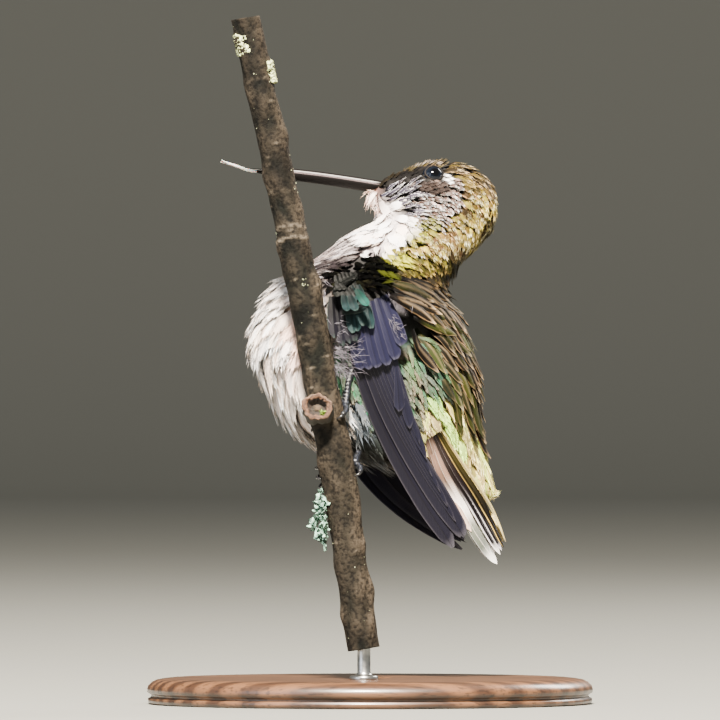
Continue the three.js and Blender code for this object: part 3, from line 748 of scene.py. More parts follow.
ZONES: tuple[Zone, ...] = (
    Zone("brow", Make.SCALE,
         ((0.9, 68.3, 0.8), (1.9, 68.8, 0.9), (2.9, 69.3, 1.0), (4.9, 70.1, 1.0), (7.6, 70.9, 1.0)),
         1.2, 0.55, 0.4, "18140f", "574b39", "857355", "060504", depth=0.3, lift=0.32, accent="342f14"),
    Zone("lores", Make.SCALE, ((2.2, 67.9, 0.7), (3.6, 68.6, 1.0), (5.7, 69.0, 1.0)),
         1.1, 0.6, 0.4, "0d0b0a", "201e1d", "282523", "040404", depth=0.3, lift=0.06, accent="1d1b1a"),
    Zone("crown", Make.WEBBED, ((10.2, 70.8, 0.9), (11.8, 70.2, 1.4), (13.5, 68.9, 1.4)),
         2.4, 1.0, 0.88, "140e09", "8a7251", "d2b890", "040201", gloss=0.15, depth=0.55, lift=0.16,
         accent="5e501d",
         barbs=9),
    Zone("ring", Make.WEBBED, ((8.1, 67.0, 0.9), (6.3, 67.5, 0.7), (9.9, 67.3, 0.8)),
         0.95, 0.5, 0.4, "1c1512", "4b3d38", "695a53", "090605", depth=0.25, lift=0.1, barbs=6,
         accent="83716a"),
    Zone("malar", Make.WEBBED,
         ((2.1, 66.9, 0.9), (4.3, 67.1, 0.9), (3.6, 65.3, 1.0), (5.6, 66.4, 0.7), (4.9, 65.0, 0.8)),
         2.3, 0.42, 0.56, "3b3742", "eeebf4", "f7f7f7", "020103", depth=0.75, lift=0.5, barbs=7, vary=0.25,
         accent="322e38"),
    Zone("cheek", Make.WEBBED, ((6.5, 65.6, 1.2), (8.8, 65.1, 1.6), (7.5, 63.4, 1.3), (10.7, 66.3, 1.1)),
         1.1, 0.42, 0.38, "66524c", "f7f3e8", "f7f7f7", "0d0705", depth=0.5, lift=0.14, barbs=8, vary=0.42,
         accent="2c1d18"),
    Zone("nape", Make.WEBBED, ((12.7, 66.8, 1.6), (14.6, 65.1, 1.6), (14.0, 62.1, 1.6), (12.0, 63.2, 1.3),
                               (12.5, 60.1, 1.3), (15.3, 63.4, 1.0), (10.1, 60.8, 1.2), (7.4, 61.1, 1.5),
                               (8.2, 59.8, 0.9), (6.0, 60.2, 0.8)),
         1.7, 0.95, 0.62, "35270f", "cfa47a", "f7ecbd", "080501", gloss=0.25, depth=0.85, lift=0.14,
         vary=0.36, barbs=8,
         accent="978a34", accent_gloss=0.35),
    Zone("throat", Make.WEBBED, ((1.6, 63.6, 1.7), (3.4, 61.9, 1.4), (0.8, 61.2, 1.4)),
         2.6, 1.5, 0.9, "f7f5f4", "f7f7f7", "f7f7f7", "cfc4c2", depth=0.5, lift=0.0, barbs=12, vary=0.02,
         accent="f4e2dc"),
    Zone("fleck", Make.WEBBED, ((-1.9, 60.9, 0.9), (0.2, 60.3, 1.0)),
         2.0, 0.8, 0.98, "c9bfc3", "f7f7f7", "f7f7f7", "8a7f82", depth=0.9, lift=0.04, barbs=10, vary=0.1),
    Zone("chin", Make.PLUME, ((-0.8, 64.6, 1.0), (-0.6, 66.2, 1.1), (0.2, 66.8, 0.8), (1.0, 66.9, 0.4)),
         2.1, 1.0, 0.6, "f5e6df", "f7f7f5", "f5e2d6", "6c5049", depth=0.45, lift=0.6, barbs=10, vary=0.08,
         accent="dcae9e"),
    Zone("sleeve", Make.PLUME, ((-2.3, 60.0, 1.2), (-3.8, 58.9, 1.2), (-4.7, 57.7, 0.8)),
         3.0, 0.7, 0.6, "9d9292", "e2dcdc", "7a6e70", "1c1516", depth=0.7, lift=0.06, barbs=9, vary=0.14,
         accent="35282a"),
    Zone("collar", Make.WEBBED, ((4.5, 58.5, 1.6), (7.4, 58.3, 1.2), (10.4, 58.0, 1.3)),
         1.9, 0.8, 0.6, "1c1907", "6a5a33", "96804e", "020200", gloss=0.2, depth=0.8, lift=0.2, barbs=7,
         accent="6b6420", accent_gloss=0.3, vary=0.45),
    # painted shade: the hind neck lies in shadow, so these are tinted near-black brown
    Zone("hindneck", Make.WEBBED, ((9.6, 56.0, 1.5), (11.4, 57.2, 1.3), (8.0, 56.4, 0.6)),
         2.6, 1.1, 0.8, "120d07", "3a2d1b", "54432b", "040301", depth=0.8, lift=0.5, barbs=7, vary=0.25,
         accent="2b2a10"),
    Zone("shade", Make.WEBBED, ((-2.6, 56.7, 1.3), (-0.3, 56.8, 1.4), (1.8, 56.7, 1.1), (0.4, 55.6, 1.0)),
         1.9, 0.8, 0.62, "020202", "050404", "0d0a0b", "010101", depth=0.8, lift=0.1, barbs=6, vary=0.2,
         accent="1a1a10"),
    Zone("breast", Make.WEBBED, ((-12.7, 52.8, 2.3), (-14.3, 49.1, 1.8), (-9.1, 53.0, 2.3), (-7.5, 54.3, 1.2),
                                 (-10.4, 48.6, 1.8)),
         4.4, 2.0, 1.35, "e9e5e2", "f7f6f5", "f7f7f7", "5a504b", depth=1.2, lift=0.5, barbs=20, vary=0.06,
         accent="c6b6ae"),
    Zone("front", Make.WEBBED, ((-14.0, 44.7, 2.1), (-12.7, 40.2, 2.1), (-9.1, 44.1, 2.6), (-7.8, 38.9, 2.3),
                                (-9.8, 35.0, 1.6), (-5.2, 39.5, 2.1)),
         6.2, 1.7, 1.5, "d4ccc5", "f3efec", "f7f6f5", "241d18", depth=1.2, lift=0.6, barbs=24, vary=0.1,
         accent="c4b8b2"),
    Zone("vent", Make.PLUME, ((-2.6, 36.9, 2.3), (-0.5, 34.6, 1.8), (-3.2, 33.0, 1.3)),
         4.0, 1.4, 0.95, "454b50", "6e7275", "7f8284", "1d2328", depth=1.1, lift=0.6, barbs=14, vary=0.1,
         accent="4b535b"),
    Zone("mantle", Make.LANCE, ((3.9, 54.3, 2.1), (9.1, 53.0, 2.3), (7.0, 50.9, 1.8), (11.4, 48.6, 2.1),
                                (10.0, 46.9, 1.7), (12.5, 44.1, 2.1), (13.4, 40.4, 1.4), (11.4, 42.6, 1.2),
                                (1.0, 56.3, 0.7)),
         6.6, 1.6, 1.34, "0b0704", "7d6549", "b49a78", "010000", gloss=0.15, depth=1.3, lift=0.6, barbs=0,
         vary=0.3,
         accent="262a0c", accent_gloss=0.35, over=True),
    Zone("side", Make.WEBBED,
         ((4.4, 46.4, 1.6), (6.5, 46.6, 1.4), (5.5, 42.1, 1.8), (8.0, 42.6, 1.0), (1.3, 44.7, 2.1),
                               (1.3, 39.5, 1.8), (-1.3, 44.7, 2.1)),
         3.0, 0.7, 0.72, "3f473d", "6a6c60", "7d7a6e", "31372e", gloss=0.1, depth=1.1, lift=0.08, barbs=24,
         vary=0.12,
         accent="2c6f50", accent_gloss=0.3),
    Zone("rump", Make.WEBBED, ((9.1, 38.5, 1.8), (10.9, 36.6, 1.8), (13.8, 32.7, 2.0), (15.4, 29.3, 1.5),
                               (7.8, 36.4, 1.2), (14.3, 36.3, 1.3)),
         4.2, 1.5, 1.15, "b09e66", "ecd9a0", "f3e6b6", "6b5c33", gloss=0.2, depth=1.1, lift=0.08, barbs=16,
         vary=0.26,
         accent="c3d860", accent_gloss=0.5),
    # painted shade: these undertail coverts lie in shadow under the body, so they are tinted dark olive
    Zone("under", Make.PLUME, ((2.0, 32.4, 2.1), (5.2, 30.4, 2.1), (7.8, 28.8, 2.1), (8.3, 33.4, 1.0),
                               (11.0, 29.6, 1.4), (13.2, 27.0, 1.4)),
         3.4, 1.3, 1.0, "282818", "585644", "716f5d", "070703", depth=0.8, lift=0.1, barbs=12, vary=0.1,
         accent="757060"),
)

FLOW: tuple[tuple[float, float, float], ...] = (  # x, z in mm and the lie in degrees below +X
    (0.3, 67.6, -5), (2.6, 69.2, -18), (5.2, 70.1, -10), (8.5, 70.6, 5), (11.7, 70.2, 22), (14.0, 68.8, 50),
    (15.6, 66.2, 78), (16.2, 62.9, 95), (15.3, 60.6, 118), (13.0, 58.5, 118), (4.6, 67.1, -28),
                                                (6.5, 65.5, 20),
    (9.8, 64.9, 38), (12.3, 65.5, 52), (9.1, 62.3, 62), (7.8, 67.1, 12), (11.1, 68.4, 25), (2.2, 66.8, -26),
    (3.4, 65.2, -22), (5.0, 64.4, 12), (-0.9, 65.6, 118), (0.2, 66.8, 130), (-0.9, 63.4, 138),
                                                (0.9, 62.3, 112),
    (3.9, 61.6, 84), (6.5, 61.2, 58), (3.9, 58.8, 92), (-1.3, 60.4, 150), (-3.4, 59.0, 156),
                                                (-5.5, 57.4, 150),
    (3.9, 57.0, 40), (0.0, 57.0, 60), (7.8, 58.2, 45), (10.4, 58.4, 75), (-11.7, 54.5, 124),
    (-14.0, 51.2, 126), (-15.6, 47.3, 112), (-14.3, 42.1, 86), (-12.3, 38.2, 78), (-9.1, 34.3, 70),
    (-9.6, 49.5, 114), (-9.4, 45.0, 106), (-7.8, 52.5, 108), (-6.5, 46.0, 98), (-5.2, 39.5, 84),
                                                (-2.6, 35.6, 70),
    (-0.6, 57.0, 32), (1.3, 55.8, 29), (3.9, 54.8, 22), (6.5, 54.5, 30), (7.0, 56.4, 42), (10.4, 53.2, 52),
                                                (2.6, 53.6, 21),
    (4.2, 52.2, 17), (9.1, 49.9, 38), (11.6, 50.4, 52), (11.0, 56.6, 60), (13.0, 47.3, 58),
    (7.8, 46.7, 40), (11.7, 43.2, 52), (13.7, 40.8, 62), (14.6, 36.9, 64), (4.5, 47.3, 78), (5.5, 42.1, 70),
    (7.8, 39.5, 62), (9.1, 35.6, 62), (13.0, 34.3, 63), (15.2, 30.4, 67), (11.7, 31.7, 60), (3.9, 33.0, 55),
    (7.8, 31.7, 60), (11.1, 26.5, 60), (1.3, 47.3, 80), (0.7, 40.8, 72))


@dataclass(frozen=True)
class Marking:
    """A stripe or spot of another colour, over whatever zone it crosses."""

    name: str
    line: Line
    half_width: float
    soft: float
    colour: str
    strength: float = 1.0
    gloss: float = 0.0


MARKINGS: tuple[Marking, ...] = (
    Marking("lore stripe", ((1.0, 68.1), (3.9, 68.7), (7.0, 69.1)), 0.4, 0.5, "060505", 0.9),
    Marking("pale streak over the eye", ((6.2, 70.3), (8.1, 70.75), (9.4, 70.5)), 0.02, 0.14, "938881", 0.6),
    Marking("dusky under the eye", ((6.6, 67.2), (9.6, 66.8)), 0.45, 0.7, "120b08", 0.75),
    Marking("white spot behind the eye", ((10.2, 69.3), (10.6, 68.2)), 0.5, 0.25, "f7f4f2"),
    Marking("ear spot", ((11.9, 63.7), (12.5, 63.5)), 0.25, 0.35, "110a05", 0.95),
    # painted shade: the back of the lower nape lies in shadow
    Marking("painted shade on the hind neck", ((15.9, 62.4), (15.2, 60.1)), 0.5, 1.0, "0b0803", 0.7),
    Marking("shade under the nape", ((13.0, 58.4), (11.0, 57.2)), 0.4, 0.9, "090803", 0.75),
    Marking("green below the cheek", ((5.6, 60.6), (8.2, 61.9)), 0.8, 0.9, "666c12", 0.7, 0.5),
    Marking("brown side of the neck", ((9.4, 60.2), (11.4, 59.2)), 0.6, 1.3, "5e4630", 0.55),
    Marking("gold collar", ((3.2, 57.8), (4.8, 57.3)), 0.6, 0.6, "a8a92e", 0.65, 0.45),
    Marking("shade under the throat", ((-5.5, 56.2), (-1.0, 56.2), (2.0, 56.0)), 1.2, 0.9, "020202", 0.94),
    # grey-brown feathers at the wrist, darkened further with painted shade under the throat
    Marking("grey-brown wrist with painted shade", ((-6.6, 56.9), (-4.2, 57.3), (-2.0, 57.6)), 0.3, 0.6, "2a2527", 0.75),
    Marking("peach streak", ((-10.7, 51.0), (-9.4, 46.0), (-9.1, 42.1)), 0.6, 1.5, "e2a988", 0.55),
    # painted shade in the gaps between the breast's plumes
    Marking("painted shade in the gaps of the breast", ((-8.9, 47.6), (-8.4, 42.0)), 0.2, 0.6, "3e322c", 0.45),
    Marking("brown feather tips", ((-10.1, 34.4), (-7.3, 34.0)), 0.5, 1.0, "413919", 0.65),
    Marking("green shoulder", ((2.4, 56.0), (3.4, 55.0)), 0.3, 0.6, "575e1d", 0.3, 0.4),
    Marking("pale scapular fringe", ((2.6, 52.6), (5.2, 52.0)), 0.3, 0.7, "5c565f", 0.6),
    Marking("buff side", ((4.9, 45.0), (6.0, 42.0), (6.6, 40.0)), 0.4, 1.0, "78604d", 0.45),
    Marking("teal side", ((4.2, 48.3), (5.0, 47.6)), 0.5, 0.9, "2a5a50", 0.6, 0.3),
    Marking("green side", ((6.6, 45.2), (5.6, 42.6)), 0.25, 0.8, "2c6a3e", 0.5, 0.35),
    Marking("green-gold edge", ((8.1, 47.0), (10.4, 42.5), (11.4, 38.9)), 0.2, 0.9, "3f4e1c", 0.4, 0.35),
    # painted shadow in the gap between the side's feathers and the mantle
    Marking("painted shadow in the gap", ((7.9, 46.3), (9.4, 42.8), (10.3, 40.6)), 0.12, 0.4, "020301", 0.85),
    Marking("pink-grey flank", ((6.9, 38.0), (8.8, 34.6)), 0.4, 0.9, "917d67", 0.5),
    Marking("bright green rump", ((8.6, 38.6), (11.0, 34.9), (12.6, 31.9)), 0.4, 0.5, "b9e86e", 0.75, 0.4),
    # painted shade on the breast feathers beside the wing's leading edge
    Marking("painted shade by the wing's leading edge", ((-6.3, 54.6), (-5.8, 50.5), (-5.4, 47.5)), 0.7, 0.5, "0c0a0b", 0.95),
    Marking("olive shade", ((-2.3, 33.3), (3.4, 32.8)), 0.6, 1.2, "101305", 0.8),
)


def on_stripe(xz: Array, line: Line) -> Array:
    """Return the distance in mm from points to a line of x and z.

    Args:
        xz: Points as x and z.
        line: The line's points.

    Returns:
        Distances in mm.
    """
    best = np.full(len(xz), 1e9)
    for a, b in zip(line[:-1], line[1:]):
        a, b = np.array(a), np.array(b)
        t = np.clip((xz - a) @ (b - a) / max((b - a) @ (b - a), 1e-9), 0, 1)
        best = np.minimum(best, np.linalg.norm(xz - a - t[:, None] * (b - a), axis=1))
    return best


def marked(colour: Array, xz: Array, strength: Array | float = 1.0) -> Array:
    """Lay the markings over a tint.

    Args:
        colour: Linear RGBA, where A is the gloss of the vane.
        xz: Where each colour is, folded onto the left side.
        strength: How strongly they show.

    Returns:
        The marked tint.
    """
    out = colour.copy()
    for mark in MARKINGS:
        amount = (1 - ease(on_stripe(xz, mark.line), mark.half_width,
                           mark.half_width + mark.soft)) * mark.strength
        amount = (amount * strength)[:, None]
        out = out * (1 - amount) + rgba(mark.colour, mark.gloss) * amount
    return out


def zone_of(xz: Array, jitter: Array | float = 0.0) -> Array:
    """Return the number of the zone at each point.

    Args:
        xz: Points as x and z on the left side.
        jitter: What is added to each zone's distance.

    Returns:
        Numbers into ZONES.
    """
    cost = np.stack([np.min([np.linalg.norm(xz - np.array([x, z]), axis=1) - reach for x, z,
                             reach in zone.spots], axis=0)
                     for zone in ZONES], 1)
    return np.argmin(cost + jitter, 1)


def lie_of(xz: Array) -> Array:
    """Return the lie of the coat at points of the left side, as directions with no y.

    Args:
        xz: Points as x and z on the left side.

    Returns:
        Directions of length one.
    """
    guides = np.array(FLOW)
    angle = np.radians(guides[:, 2])
    arrows = np.stack([np.cos(angle), np.zeros(len(angle)), -np.sin(angle)], 1)
    gap = ((xz[:, None] - guides[None, :, :2]) ** 2).sum(2)
    weight = 1 / (gap + 0.25) ** 2
    return unit(weight @ arrows)


class Form:
    """The outer form that the feathers are laid on, and the skin inside it."""

    cell = 1.3  # mm: grain of the search for the roots near another
    sheet_grain, sheet_cells = 0.4, (68, 108)  # of the sheet over the back, in mm and in x by z
    sheet_x, sheet_z = -7.0, 19.0
    def __init__(self, voxel: float = 0.42) -> None:
        """Shell the flesh solids together, and the shoulders with them for the lie of the mantle.

        Args:
            voxel: Grain of the shell in mm.
        """
        nodes = ("head", "neck", "trunk", "eye_left", "eye_right")
        self.flesh = self.shell(nodes, voxel, 6)
        self.support = self.shell((*nodes, "wing_left_coverts", "wing_right_coverts"), voxel, 4)
        self.tree, self.normals, self.faces = self.grown(self.support)
        self.flesh_tree, self.flesh_normals, self.flesh_faces = self.grown(self.flesh)
        self.sheet = self.drape()

    def drape(self) -> Array:
        """Hang a soft sheet over back, wing root and rump: how far out it lies on a grid of x and z.

        Returns:
            Distances from the mid-plane in mm.
        """
        columns, rows = self.sheet_cells
        x, z = np.meshgrid(np.arange(columns) * self.sheet_grain + self.sheet_x,
                           np.arange(rows) * self.sheet_grain + self.sheet_z, indexing="ij")
        out = np.full(x.shape, -2.0)
        for at in np.ndindex(*x.shape):
            hit = self.tree.ray_cast(Vector((x[at], -60.0, z[at])), Vector((0.0, 1.0, 0.0)))[0]
            if hit is not None:
                out[at] = (POSE.mid_y(x[at], z[at]) - hit.y) / np.linalg.norm(POSE.lateral)
        out = np.where((wing_cover(x, z) > 0.5) & (z > 45), np.maximum(out, wing_reach(z) + 0.6), out)
        for turn in range(16):
            wide = np.pad(out, 1, mode="edge")
            soft = sum(wide[i:i + columns, j:j + rows] for i in range(3) for j in range(3)) / 9
            out = np.maximum(out, soft) if turn < 14 else soft
        return out

    def over(self, x: Array, z: Array) -> Array:
        """Return how far out the sheet lies at x and z.

        Args:
            x: Where to read the sheet.
            z: The heights.

        Returns:
            Distances from the mid-plane in mm.
        """
        i, j = (np.clip((at - low) / self.sheet_grain, 0, cells - 1.001)
                for at, low, cells in zip((x, z), (self.sheet_x, self.sheet_z), self.sheet_cells))
        a, b = i.astype(int), j.astype(int)
        u, v = i - a, j - b
        s = self.sheet
        return (s[a, b] * (1 - u) * (1 - v) + s[a + 1, b] * u * (1 - v) + s[a, b + 1] * (1 - u) * v
                + s[a + 1, b + 1] * u * v)

    def to_drape(self, roots: Array) -> Array:
        """Say which roots are so near the wing that their feathers lie on the sheet."""
        xz, _ = POSE.near_side(roots)
        return (xz[:, 0] > -1.5) & (xz[:, 0] < 6.2) & (xz[:, 1] > 46) & (xz[:, 1] < 57.5)

    def draped(self, roots: Array, length: Array, rows: int, depth: float, lift: Array, turn: Array) -> Laid:
        """Lay feathers on the sheet, as laid() does on the form.

        Args:
            roots: Root places.
            length: Length of each feather.
            rows: Places along each.
            depth: How deep each root sits.
            lift: How far each tip stands off.
            turn: Angle off the lie, in radians.

        Returns:
            Paths and normals.
        """
        right = (POSE.beyond(roots) > 0)[:, None, None]
        flat = np.where(right[:, 0], POSE.mirrored(roots), roots)[:, [0, 2]]
        size = np.linalg.norm(POSE.lateral)
        path, normals = [], []
        for share in np.linspace(0, 1, rows):
            x, z = flat.T
            height = -depth * (1 - ease(share, 0, 0.5)) + lift * share ** 2 + 0.04
            path.append(POSE.on_left(x, z, self.over(x, z) + height))
            slope = [(self.over(x + dx, z + dz) - self.over(x - dx, z - dz)) / 1.2 for dx,
                     dz in ((0.6, 0), (0, 0.6))]
            normals.append(unit(np.stack([math.tan(POSE.yaw) - slope[0] * size, np.full(len(x), -1.0),
                                          POSE.lean - slope[1] * size], 1)))
            lie = unit(lie_of(flat)[:, [0, 2]])
            side = np.stack([-lie[:, 1], lie[:, 0]], 1)
            flat = flat + (lie * np.cos(turn)[:, None]
                           + side * np.sin(turn)[:, None]) * (length / (rows - 1))[:, None]
        path, normals = np.stack(path, 1), np.stack(normals, 1)
        return (np.where(right, POSE.mirrored(path), path),
                np.where(right, POSE.mirrored_direction(normals), normals))

    @staticmethod
    def shell(nodes: tuple[str, ...], voxel: float, passes: int) -> Mesh:
        """Merge copies of solids into one even shell.

        Args:
            nodes: Names of the solids.
            voxel: Grain in mm.
            passes: Smoothing passes.

        Returns:
            Vertices in mm and quads.
        """
        mesh = bpy.data.meshes.new("shell")
        union = bmesh.new()
        for node in nodes:
            union.from_mesh(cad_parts[node].data)
        bmesh.ops.remove_doubles(union, verts=union.verts, dist=1e-6)
        for v in union.verts:
            v.co *= 1000
        union.to_mesh(mesh)
        union.free()
        body = in_scene("shell", mesh)
        grow = body.modifiers.new("grow", "REMESH")
        grow.mode, grow.voxel_size, grow.use_smooth_shade = "VOXEL", voxel, True
        calm = body.modifiers.new("calm", "SMOOTH")
        calm.factor, calm.iterations = 0.5, passes
        bpy.context.view_layer.update()
        made = bpy.data.meshes.new_from_object(body.evaluated_get(bpy.context.evaluated_depsgraph_get()))
        verts = np.empty(len(made.vertices) * 3)
        made.vertices.foreach_get("co", verts)
        quads = np.array([list(p.vertices) if len(p.vertices) == 4 else [*p.vertices, p.vertices[-1]]
                          for p in made.polygons])
        bpy.data.objects.remove(body)
        bpy.data.meshes.remove(made)
        bpy.data.meshes.remove(mesh)
        return verts.reshape(-1, 3), quads

    @staticmethod
    def grown(shell: Mesh) -> tuple[BVHTree, Array, Array]:
        """Return a search tree, vertex normals and faces of a shell.

        Args:
            shell: Vertices and quads.

        Returns:
            The tree, one normal for each vertex, and the quads.
        """
        verts, quads = shell
        cross = np.cross(verts[quads[:, 2]] - verts[quads[:, 0]], verts[quads[:, 3]] - verts[quads[:, 1]])
        normals = np.zeros_like(verts)
        for corner in range(4):
            np.add.at(normals, quads[:, corner], cross)
        return BVHTree.FromPolygons(verts.tolist(), quads.tolist()), unit(normals), quads

    def nearest(self, points: Array) -> Laid:
        """Find the nearest places on the support and the normals there.

        Args:
            points: Points in mm.

        Returns:
            Places and outward normals.
        """
        places, normals = np.empty_like(points), np.empty_like(points)
        for i, p in enumerate(points):
            places[i], _, face, _ = self.tree.find_nearest(Vector(p))
            normals[i] = self.normals[self.faces[face]].mean(0)
        return places, unit(normals)

    def scattered(self, seed: int, dense: int) -> tuple[Array, Array]:
        """Scatter roots over the flesh with the spacing of each zone.

        Args:
            seed: Seed.
            dense: How many places to try.

        Returns:
            Roots in mm and the zone of each.
        """
        rng = np.random.default_rng(seed)
        verts, quads = self.support
        tris = triangles(quads)
        a, b, c = (verts[tris[:, i]] for i in range(3))
        area = np.linalg.norm(np.cross(b - a, c - a), axis=1)
        pick = rng.choice(len(tris), dense, p=area / area.sum())
        r = rng.random((dense, 2))
        flip = r.sum(1) > 1
        r[flip] = 1 - r[flip]
        points = a[pick] + (b - a)[pick] * r[:, :1] + (c - a)[pick] * r[:, 1:]
        xz, _ = POSE.near_side(points)
        on_arm = np.array([self.flesh_tree.find_nearest(Vector(p))[3] for p in points]) > 0.5
        x, z = xz.T
        tail = (x > 7.2) & (z < np.interp(x, (7.2, 8.8, 13.4, 16.65, 17.5), (36.6, 35.2, 29.8, 26.3, 25.5))
                            + 0.2)
        arm = (x > -2.5) & (z > 45.5) & (x < 5.3 - 3.1 * (z > 53)) & (z < 54.6)
        bare = tail | arm | on_arm & (x < -0.6 + 0.66 * (56.4 - z)) & (z < 56.2)
        points, xz = points[~bare], xz[~bare]
        kinds = zone_of(xz, rng.normal(0, 0.22, (len(points), len(ZONES))))
        gap = np.array([z.spacing for z in ZONES])[kinds]
        around = list(product((-1, 0, 1), repeat=3))
        kept, grid = [], {}
        for number, (cx, cy, cz) in enumerate(np.floor(points / self.cell).astype(int).tolist()):
            p, reach = points[number], gap[number] ** 2
            near = (q for i, j, k in around for q in grid.get((cx + i, cy + j, cz + k), ()))
            if all((p[0] - q[0]) ** 2 + (p[1] - q[1]) ** 2 + (p[2] - q[2]) ** 2 >= reach for q in near):
                grid.setdefault((cx, cy, cz), []).append(p)
                kept.append(number)
        return points[kept], kinds[kept]

    def laid(self, roots: Array, length: Array, rows: int, depth: Array, lift: Array, turn: Array) -> Laid:
        """Lay feathers over the form along the lie of the coat.

        Args:
            roots: Root places on the form.
            length: Length of each feather.
            rows: Places along each.
            depth: How deep each root sits.
            lift: How far each tip stands off.
            turn: Angle off the lie, in radians.

        Returns:
            Paths and normals.
        """
        place, normal = self.nearest(roots)
        path, normals = [], []
        shares = np.linspace(0, 1, rows)
        for row, share in enumerate(shares):
            height = -depth * (1 - ease(share, 0, 0.55)) + lift * share ** 2.2 - 0.05
            path.append(place + normal * np.broadcast_to(height, len(roots))[:, None])
            normals.append(normal)
            if row == rows - 1:
                break
            xz, side = POSE.near_side(place)
            lie = POSE.to_side(lie_of(xz), place, side)
            lie = unit(lie - normal * (lie * normal).sum(1, keepdims=True))
            lie = lie * np.cos(turn)[:, None] + np.cross(normal, lie) * np.sin(turn)[:, None]
            ahead, new_normal = self.nearest(place + lie * (length / (rows - 1))[:, None])
            place, normal = ahead, unit(new_normal * 0.6 + normal * 0.4)
        return np.stack(path, 1), np.stack(normals, 1)


def wing_reach(z: Array) -> Array:
    """Return how far out from the mid-plane the folded wing lies at a height."""
    return row_at(WING_REACH, (np.ravel(z) - 18) / 40)[:, 0].reshape(np.shape(z))


def wing_cover(x: Array, z: Array) -> Array:
    """Return 1 where the folded wing covers the flank, falling to 0 just outside it.

    Args:
        x: Places on the left side.
        z: Their heights.

    Returns:
        Cover from 0 to 1.
    """
    lead = np.interp(z, (20.8, 25, 29.3, 32.5, 35.9, 41.5, 46, 51.2, 54.7),
                     (8.3, 6.5, 4.4, 2.7, 1.0, -1.0, -3.25, -4.8, -5.2))
    trail = np.interp(z, (20.8, 27, 32, 36.6, 39.5, 47, 55), (12.8, 10.3, 8.2, 5.6, 4.7, 5.2, 5.4))
    return ease(x, lead - 0.9, lead) * (1 - ease(x, trail - 0.2, trail + 0.9)) * ease(z, 20, 21)


def under_wing(path: Array) -> Array:
    """Keep the flank's feathers under the folded wing.

    Args:
        path: Paths from root to tip.

    Returns:
        The paths, pressed in where the wing lies over them.
    """
    points = path.reshape(-1, 3)
    right = (POSE.beyond(points) > 0)[:, None]
    left = np.where(right, POSE.mirrored(points), points)
    size = np.linalg.norm(POSE.lateral)
    reach = -POSE.beyond(left) / size
    bed = wing_reach(left[:, 2]) - 0.5
    near = wing_cover(left[:, 0], left[:, 2])
    flank = (left.reshape(path.shape)[:, :1, 2] < 50.5) * np.ones(path.shape[:2])
    aim = np.minimum(reach, bed * near + reach * (1 - near))
    left[:, 1] += (reach - aim) * size * flank.ravel()
    return np.where(right, POSE.mirrored(left), left).reshape(path.shape)


def unwrap(points: Array) -> Array:
    """Unroll the body: the angle round its long axis and the station along it.

    Args:
        points: Points in mm.

    Returns:
        Coordinates from 0.02 to 0.98.
    """
    axis = np.array([(-2.0, 66.5), (9.2, 65.5), (8.0, 58.5), (0.0, 54.0), (0.0, 44.0), (6.0, 34.0),
                     (16.5, 22.0)])
    xz = points[:, [0, 2]]
    best, station, beside = np.full(len(points), 1e9), np.zeros(len(points)), np.zeros(len(points))
    run = 0.0
    for a, b in zip(axis[:-1], axis[1:]):
        step = np.linalg.norm(b - a)
        t = np.clip((xz - a) @ (b - a) / step ** 2, 0, 1)
        off = xz - a - t[:, None] * (b - a)
        gap = np.linalg.norm(off, axis=1)
        nearer = gap < best
        best[nearer] = gap[nearer]
        station[nearer] = (run + t * step)[nearer]
        cross = (off[:, 0] * (b - a)[1] - off[:, 1] * (b - a)[0]) / step
        beside[nearer] = cross[nearer]
        run += step
    angle = np.arctan2(-POSE.beyond(points), beside) / (2 * math.pi) + 0.5
    return np.stack([0.02 + 0.96 * angle, 0.02 + 0.96 * station / run], 1)


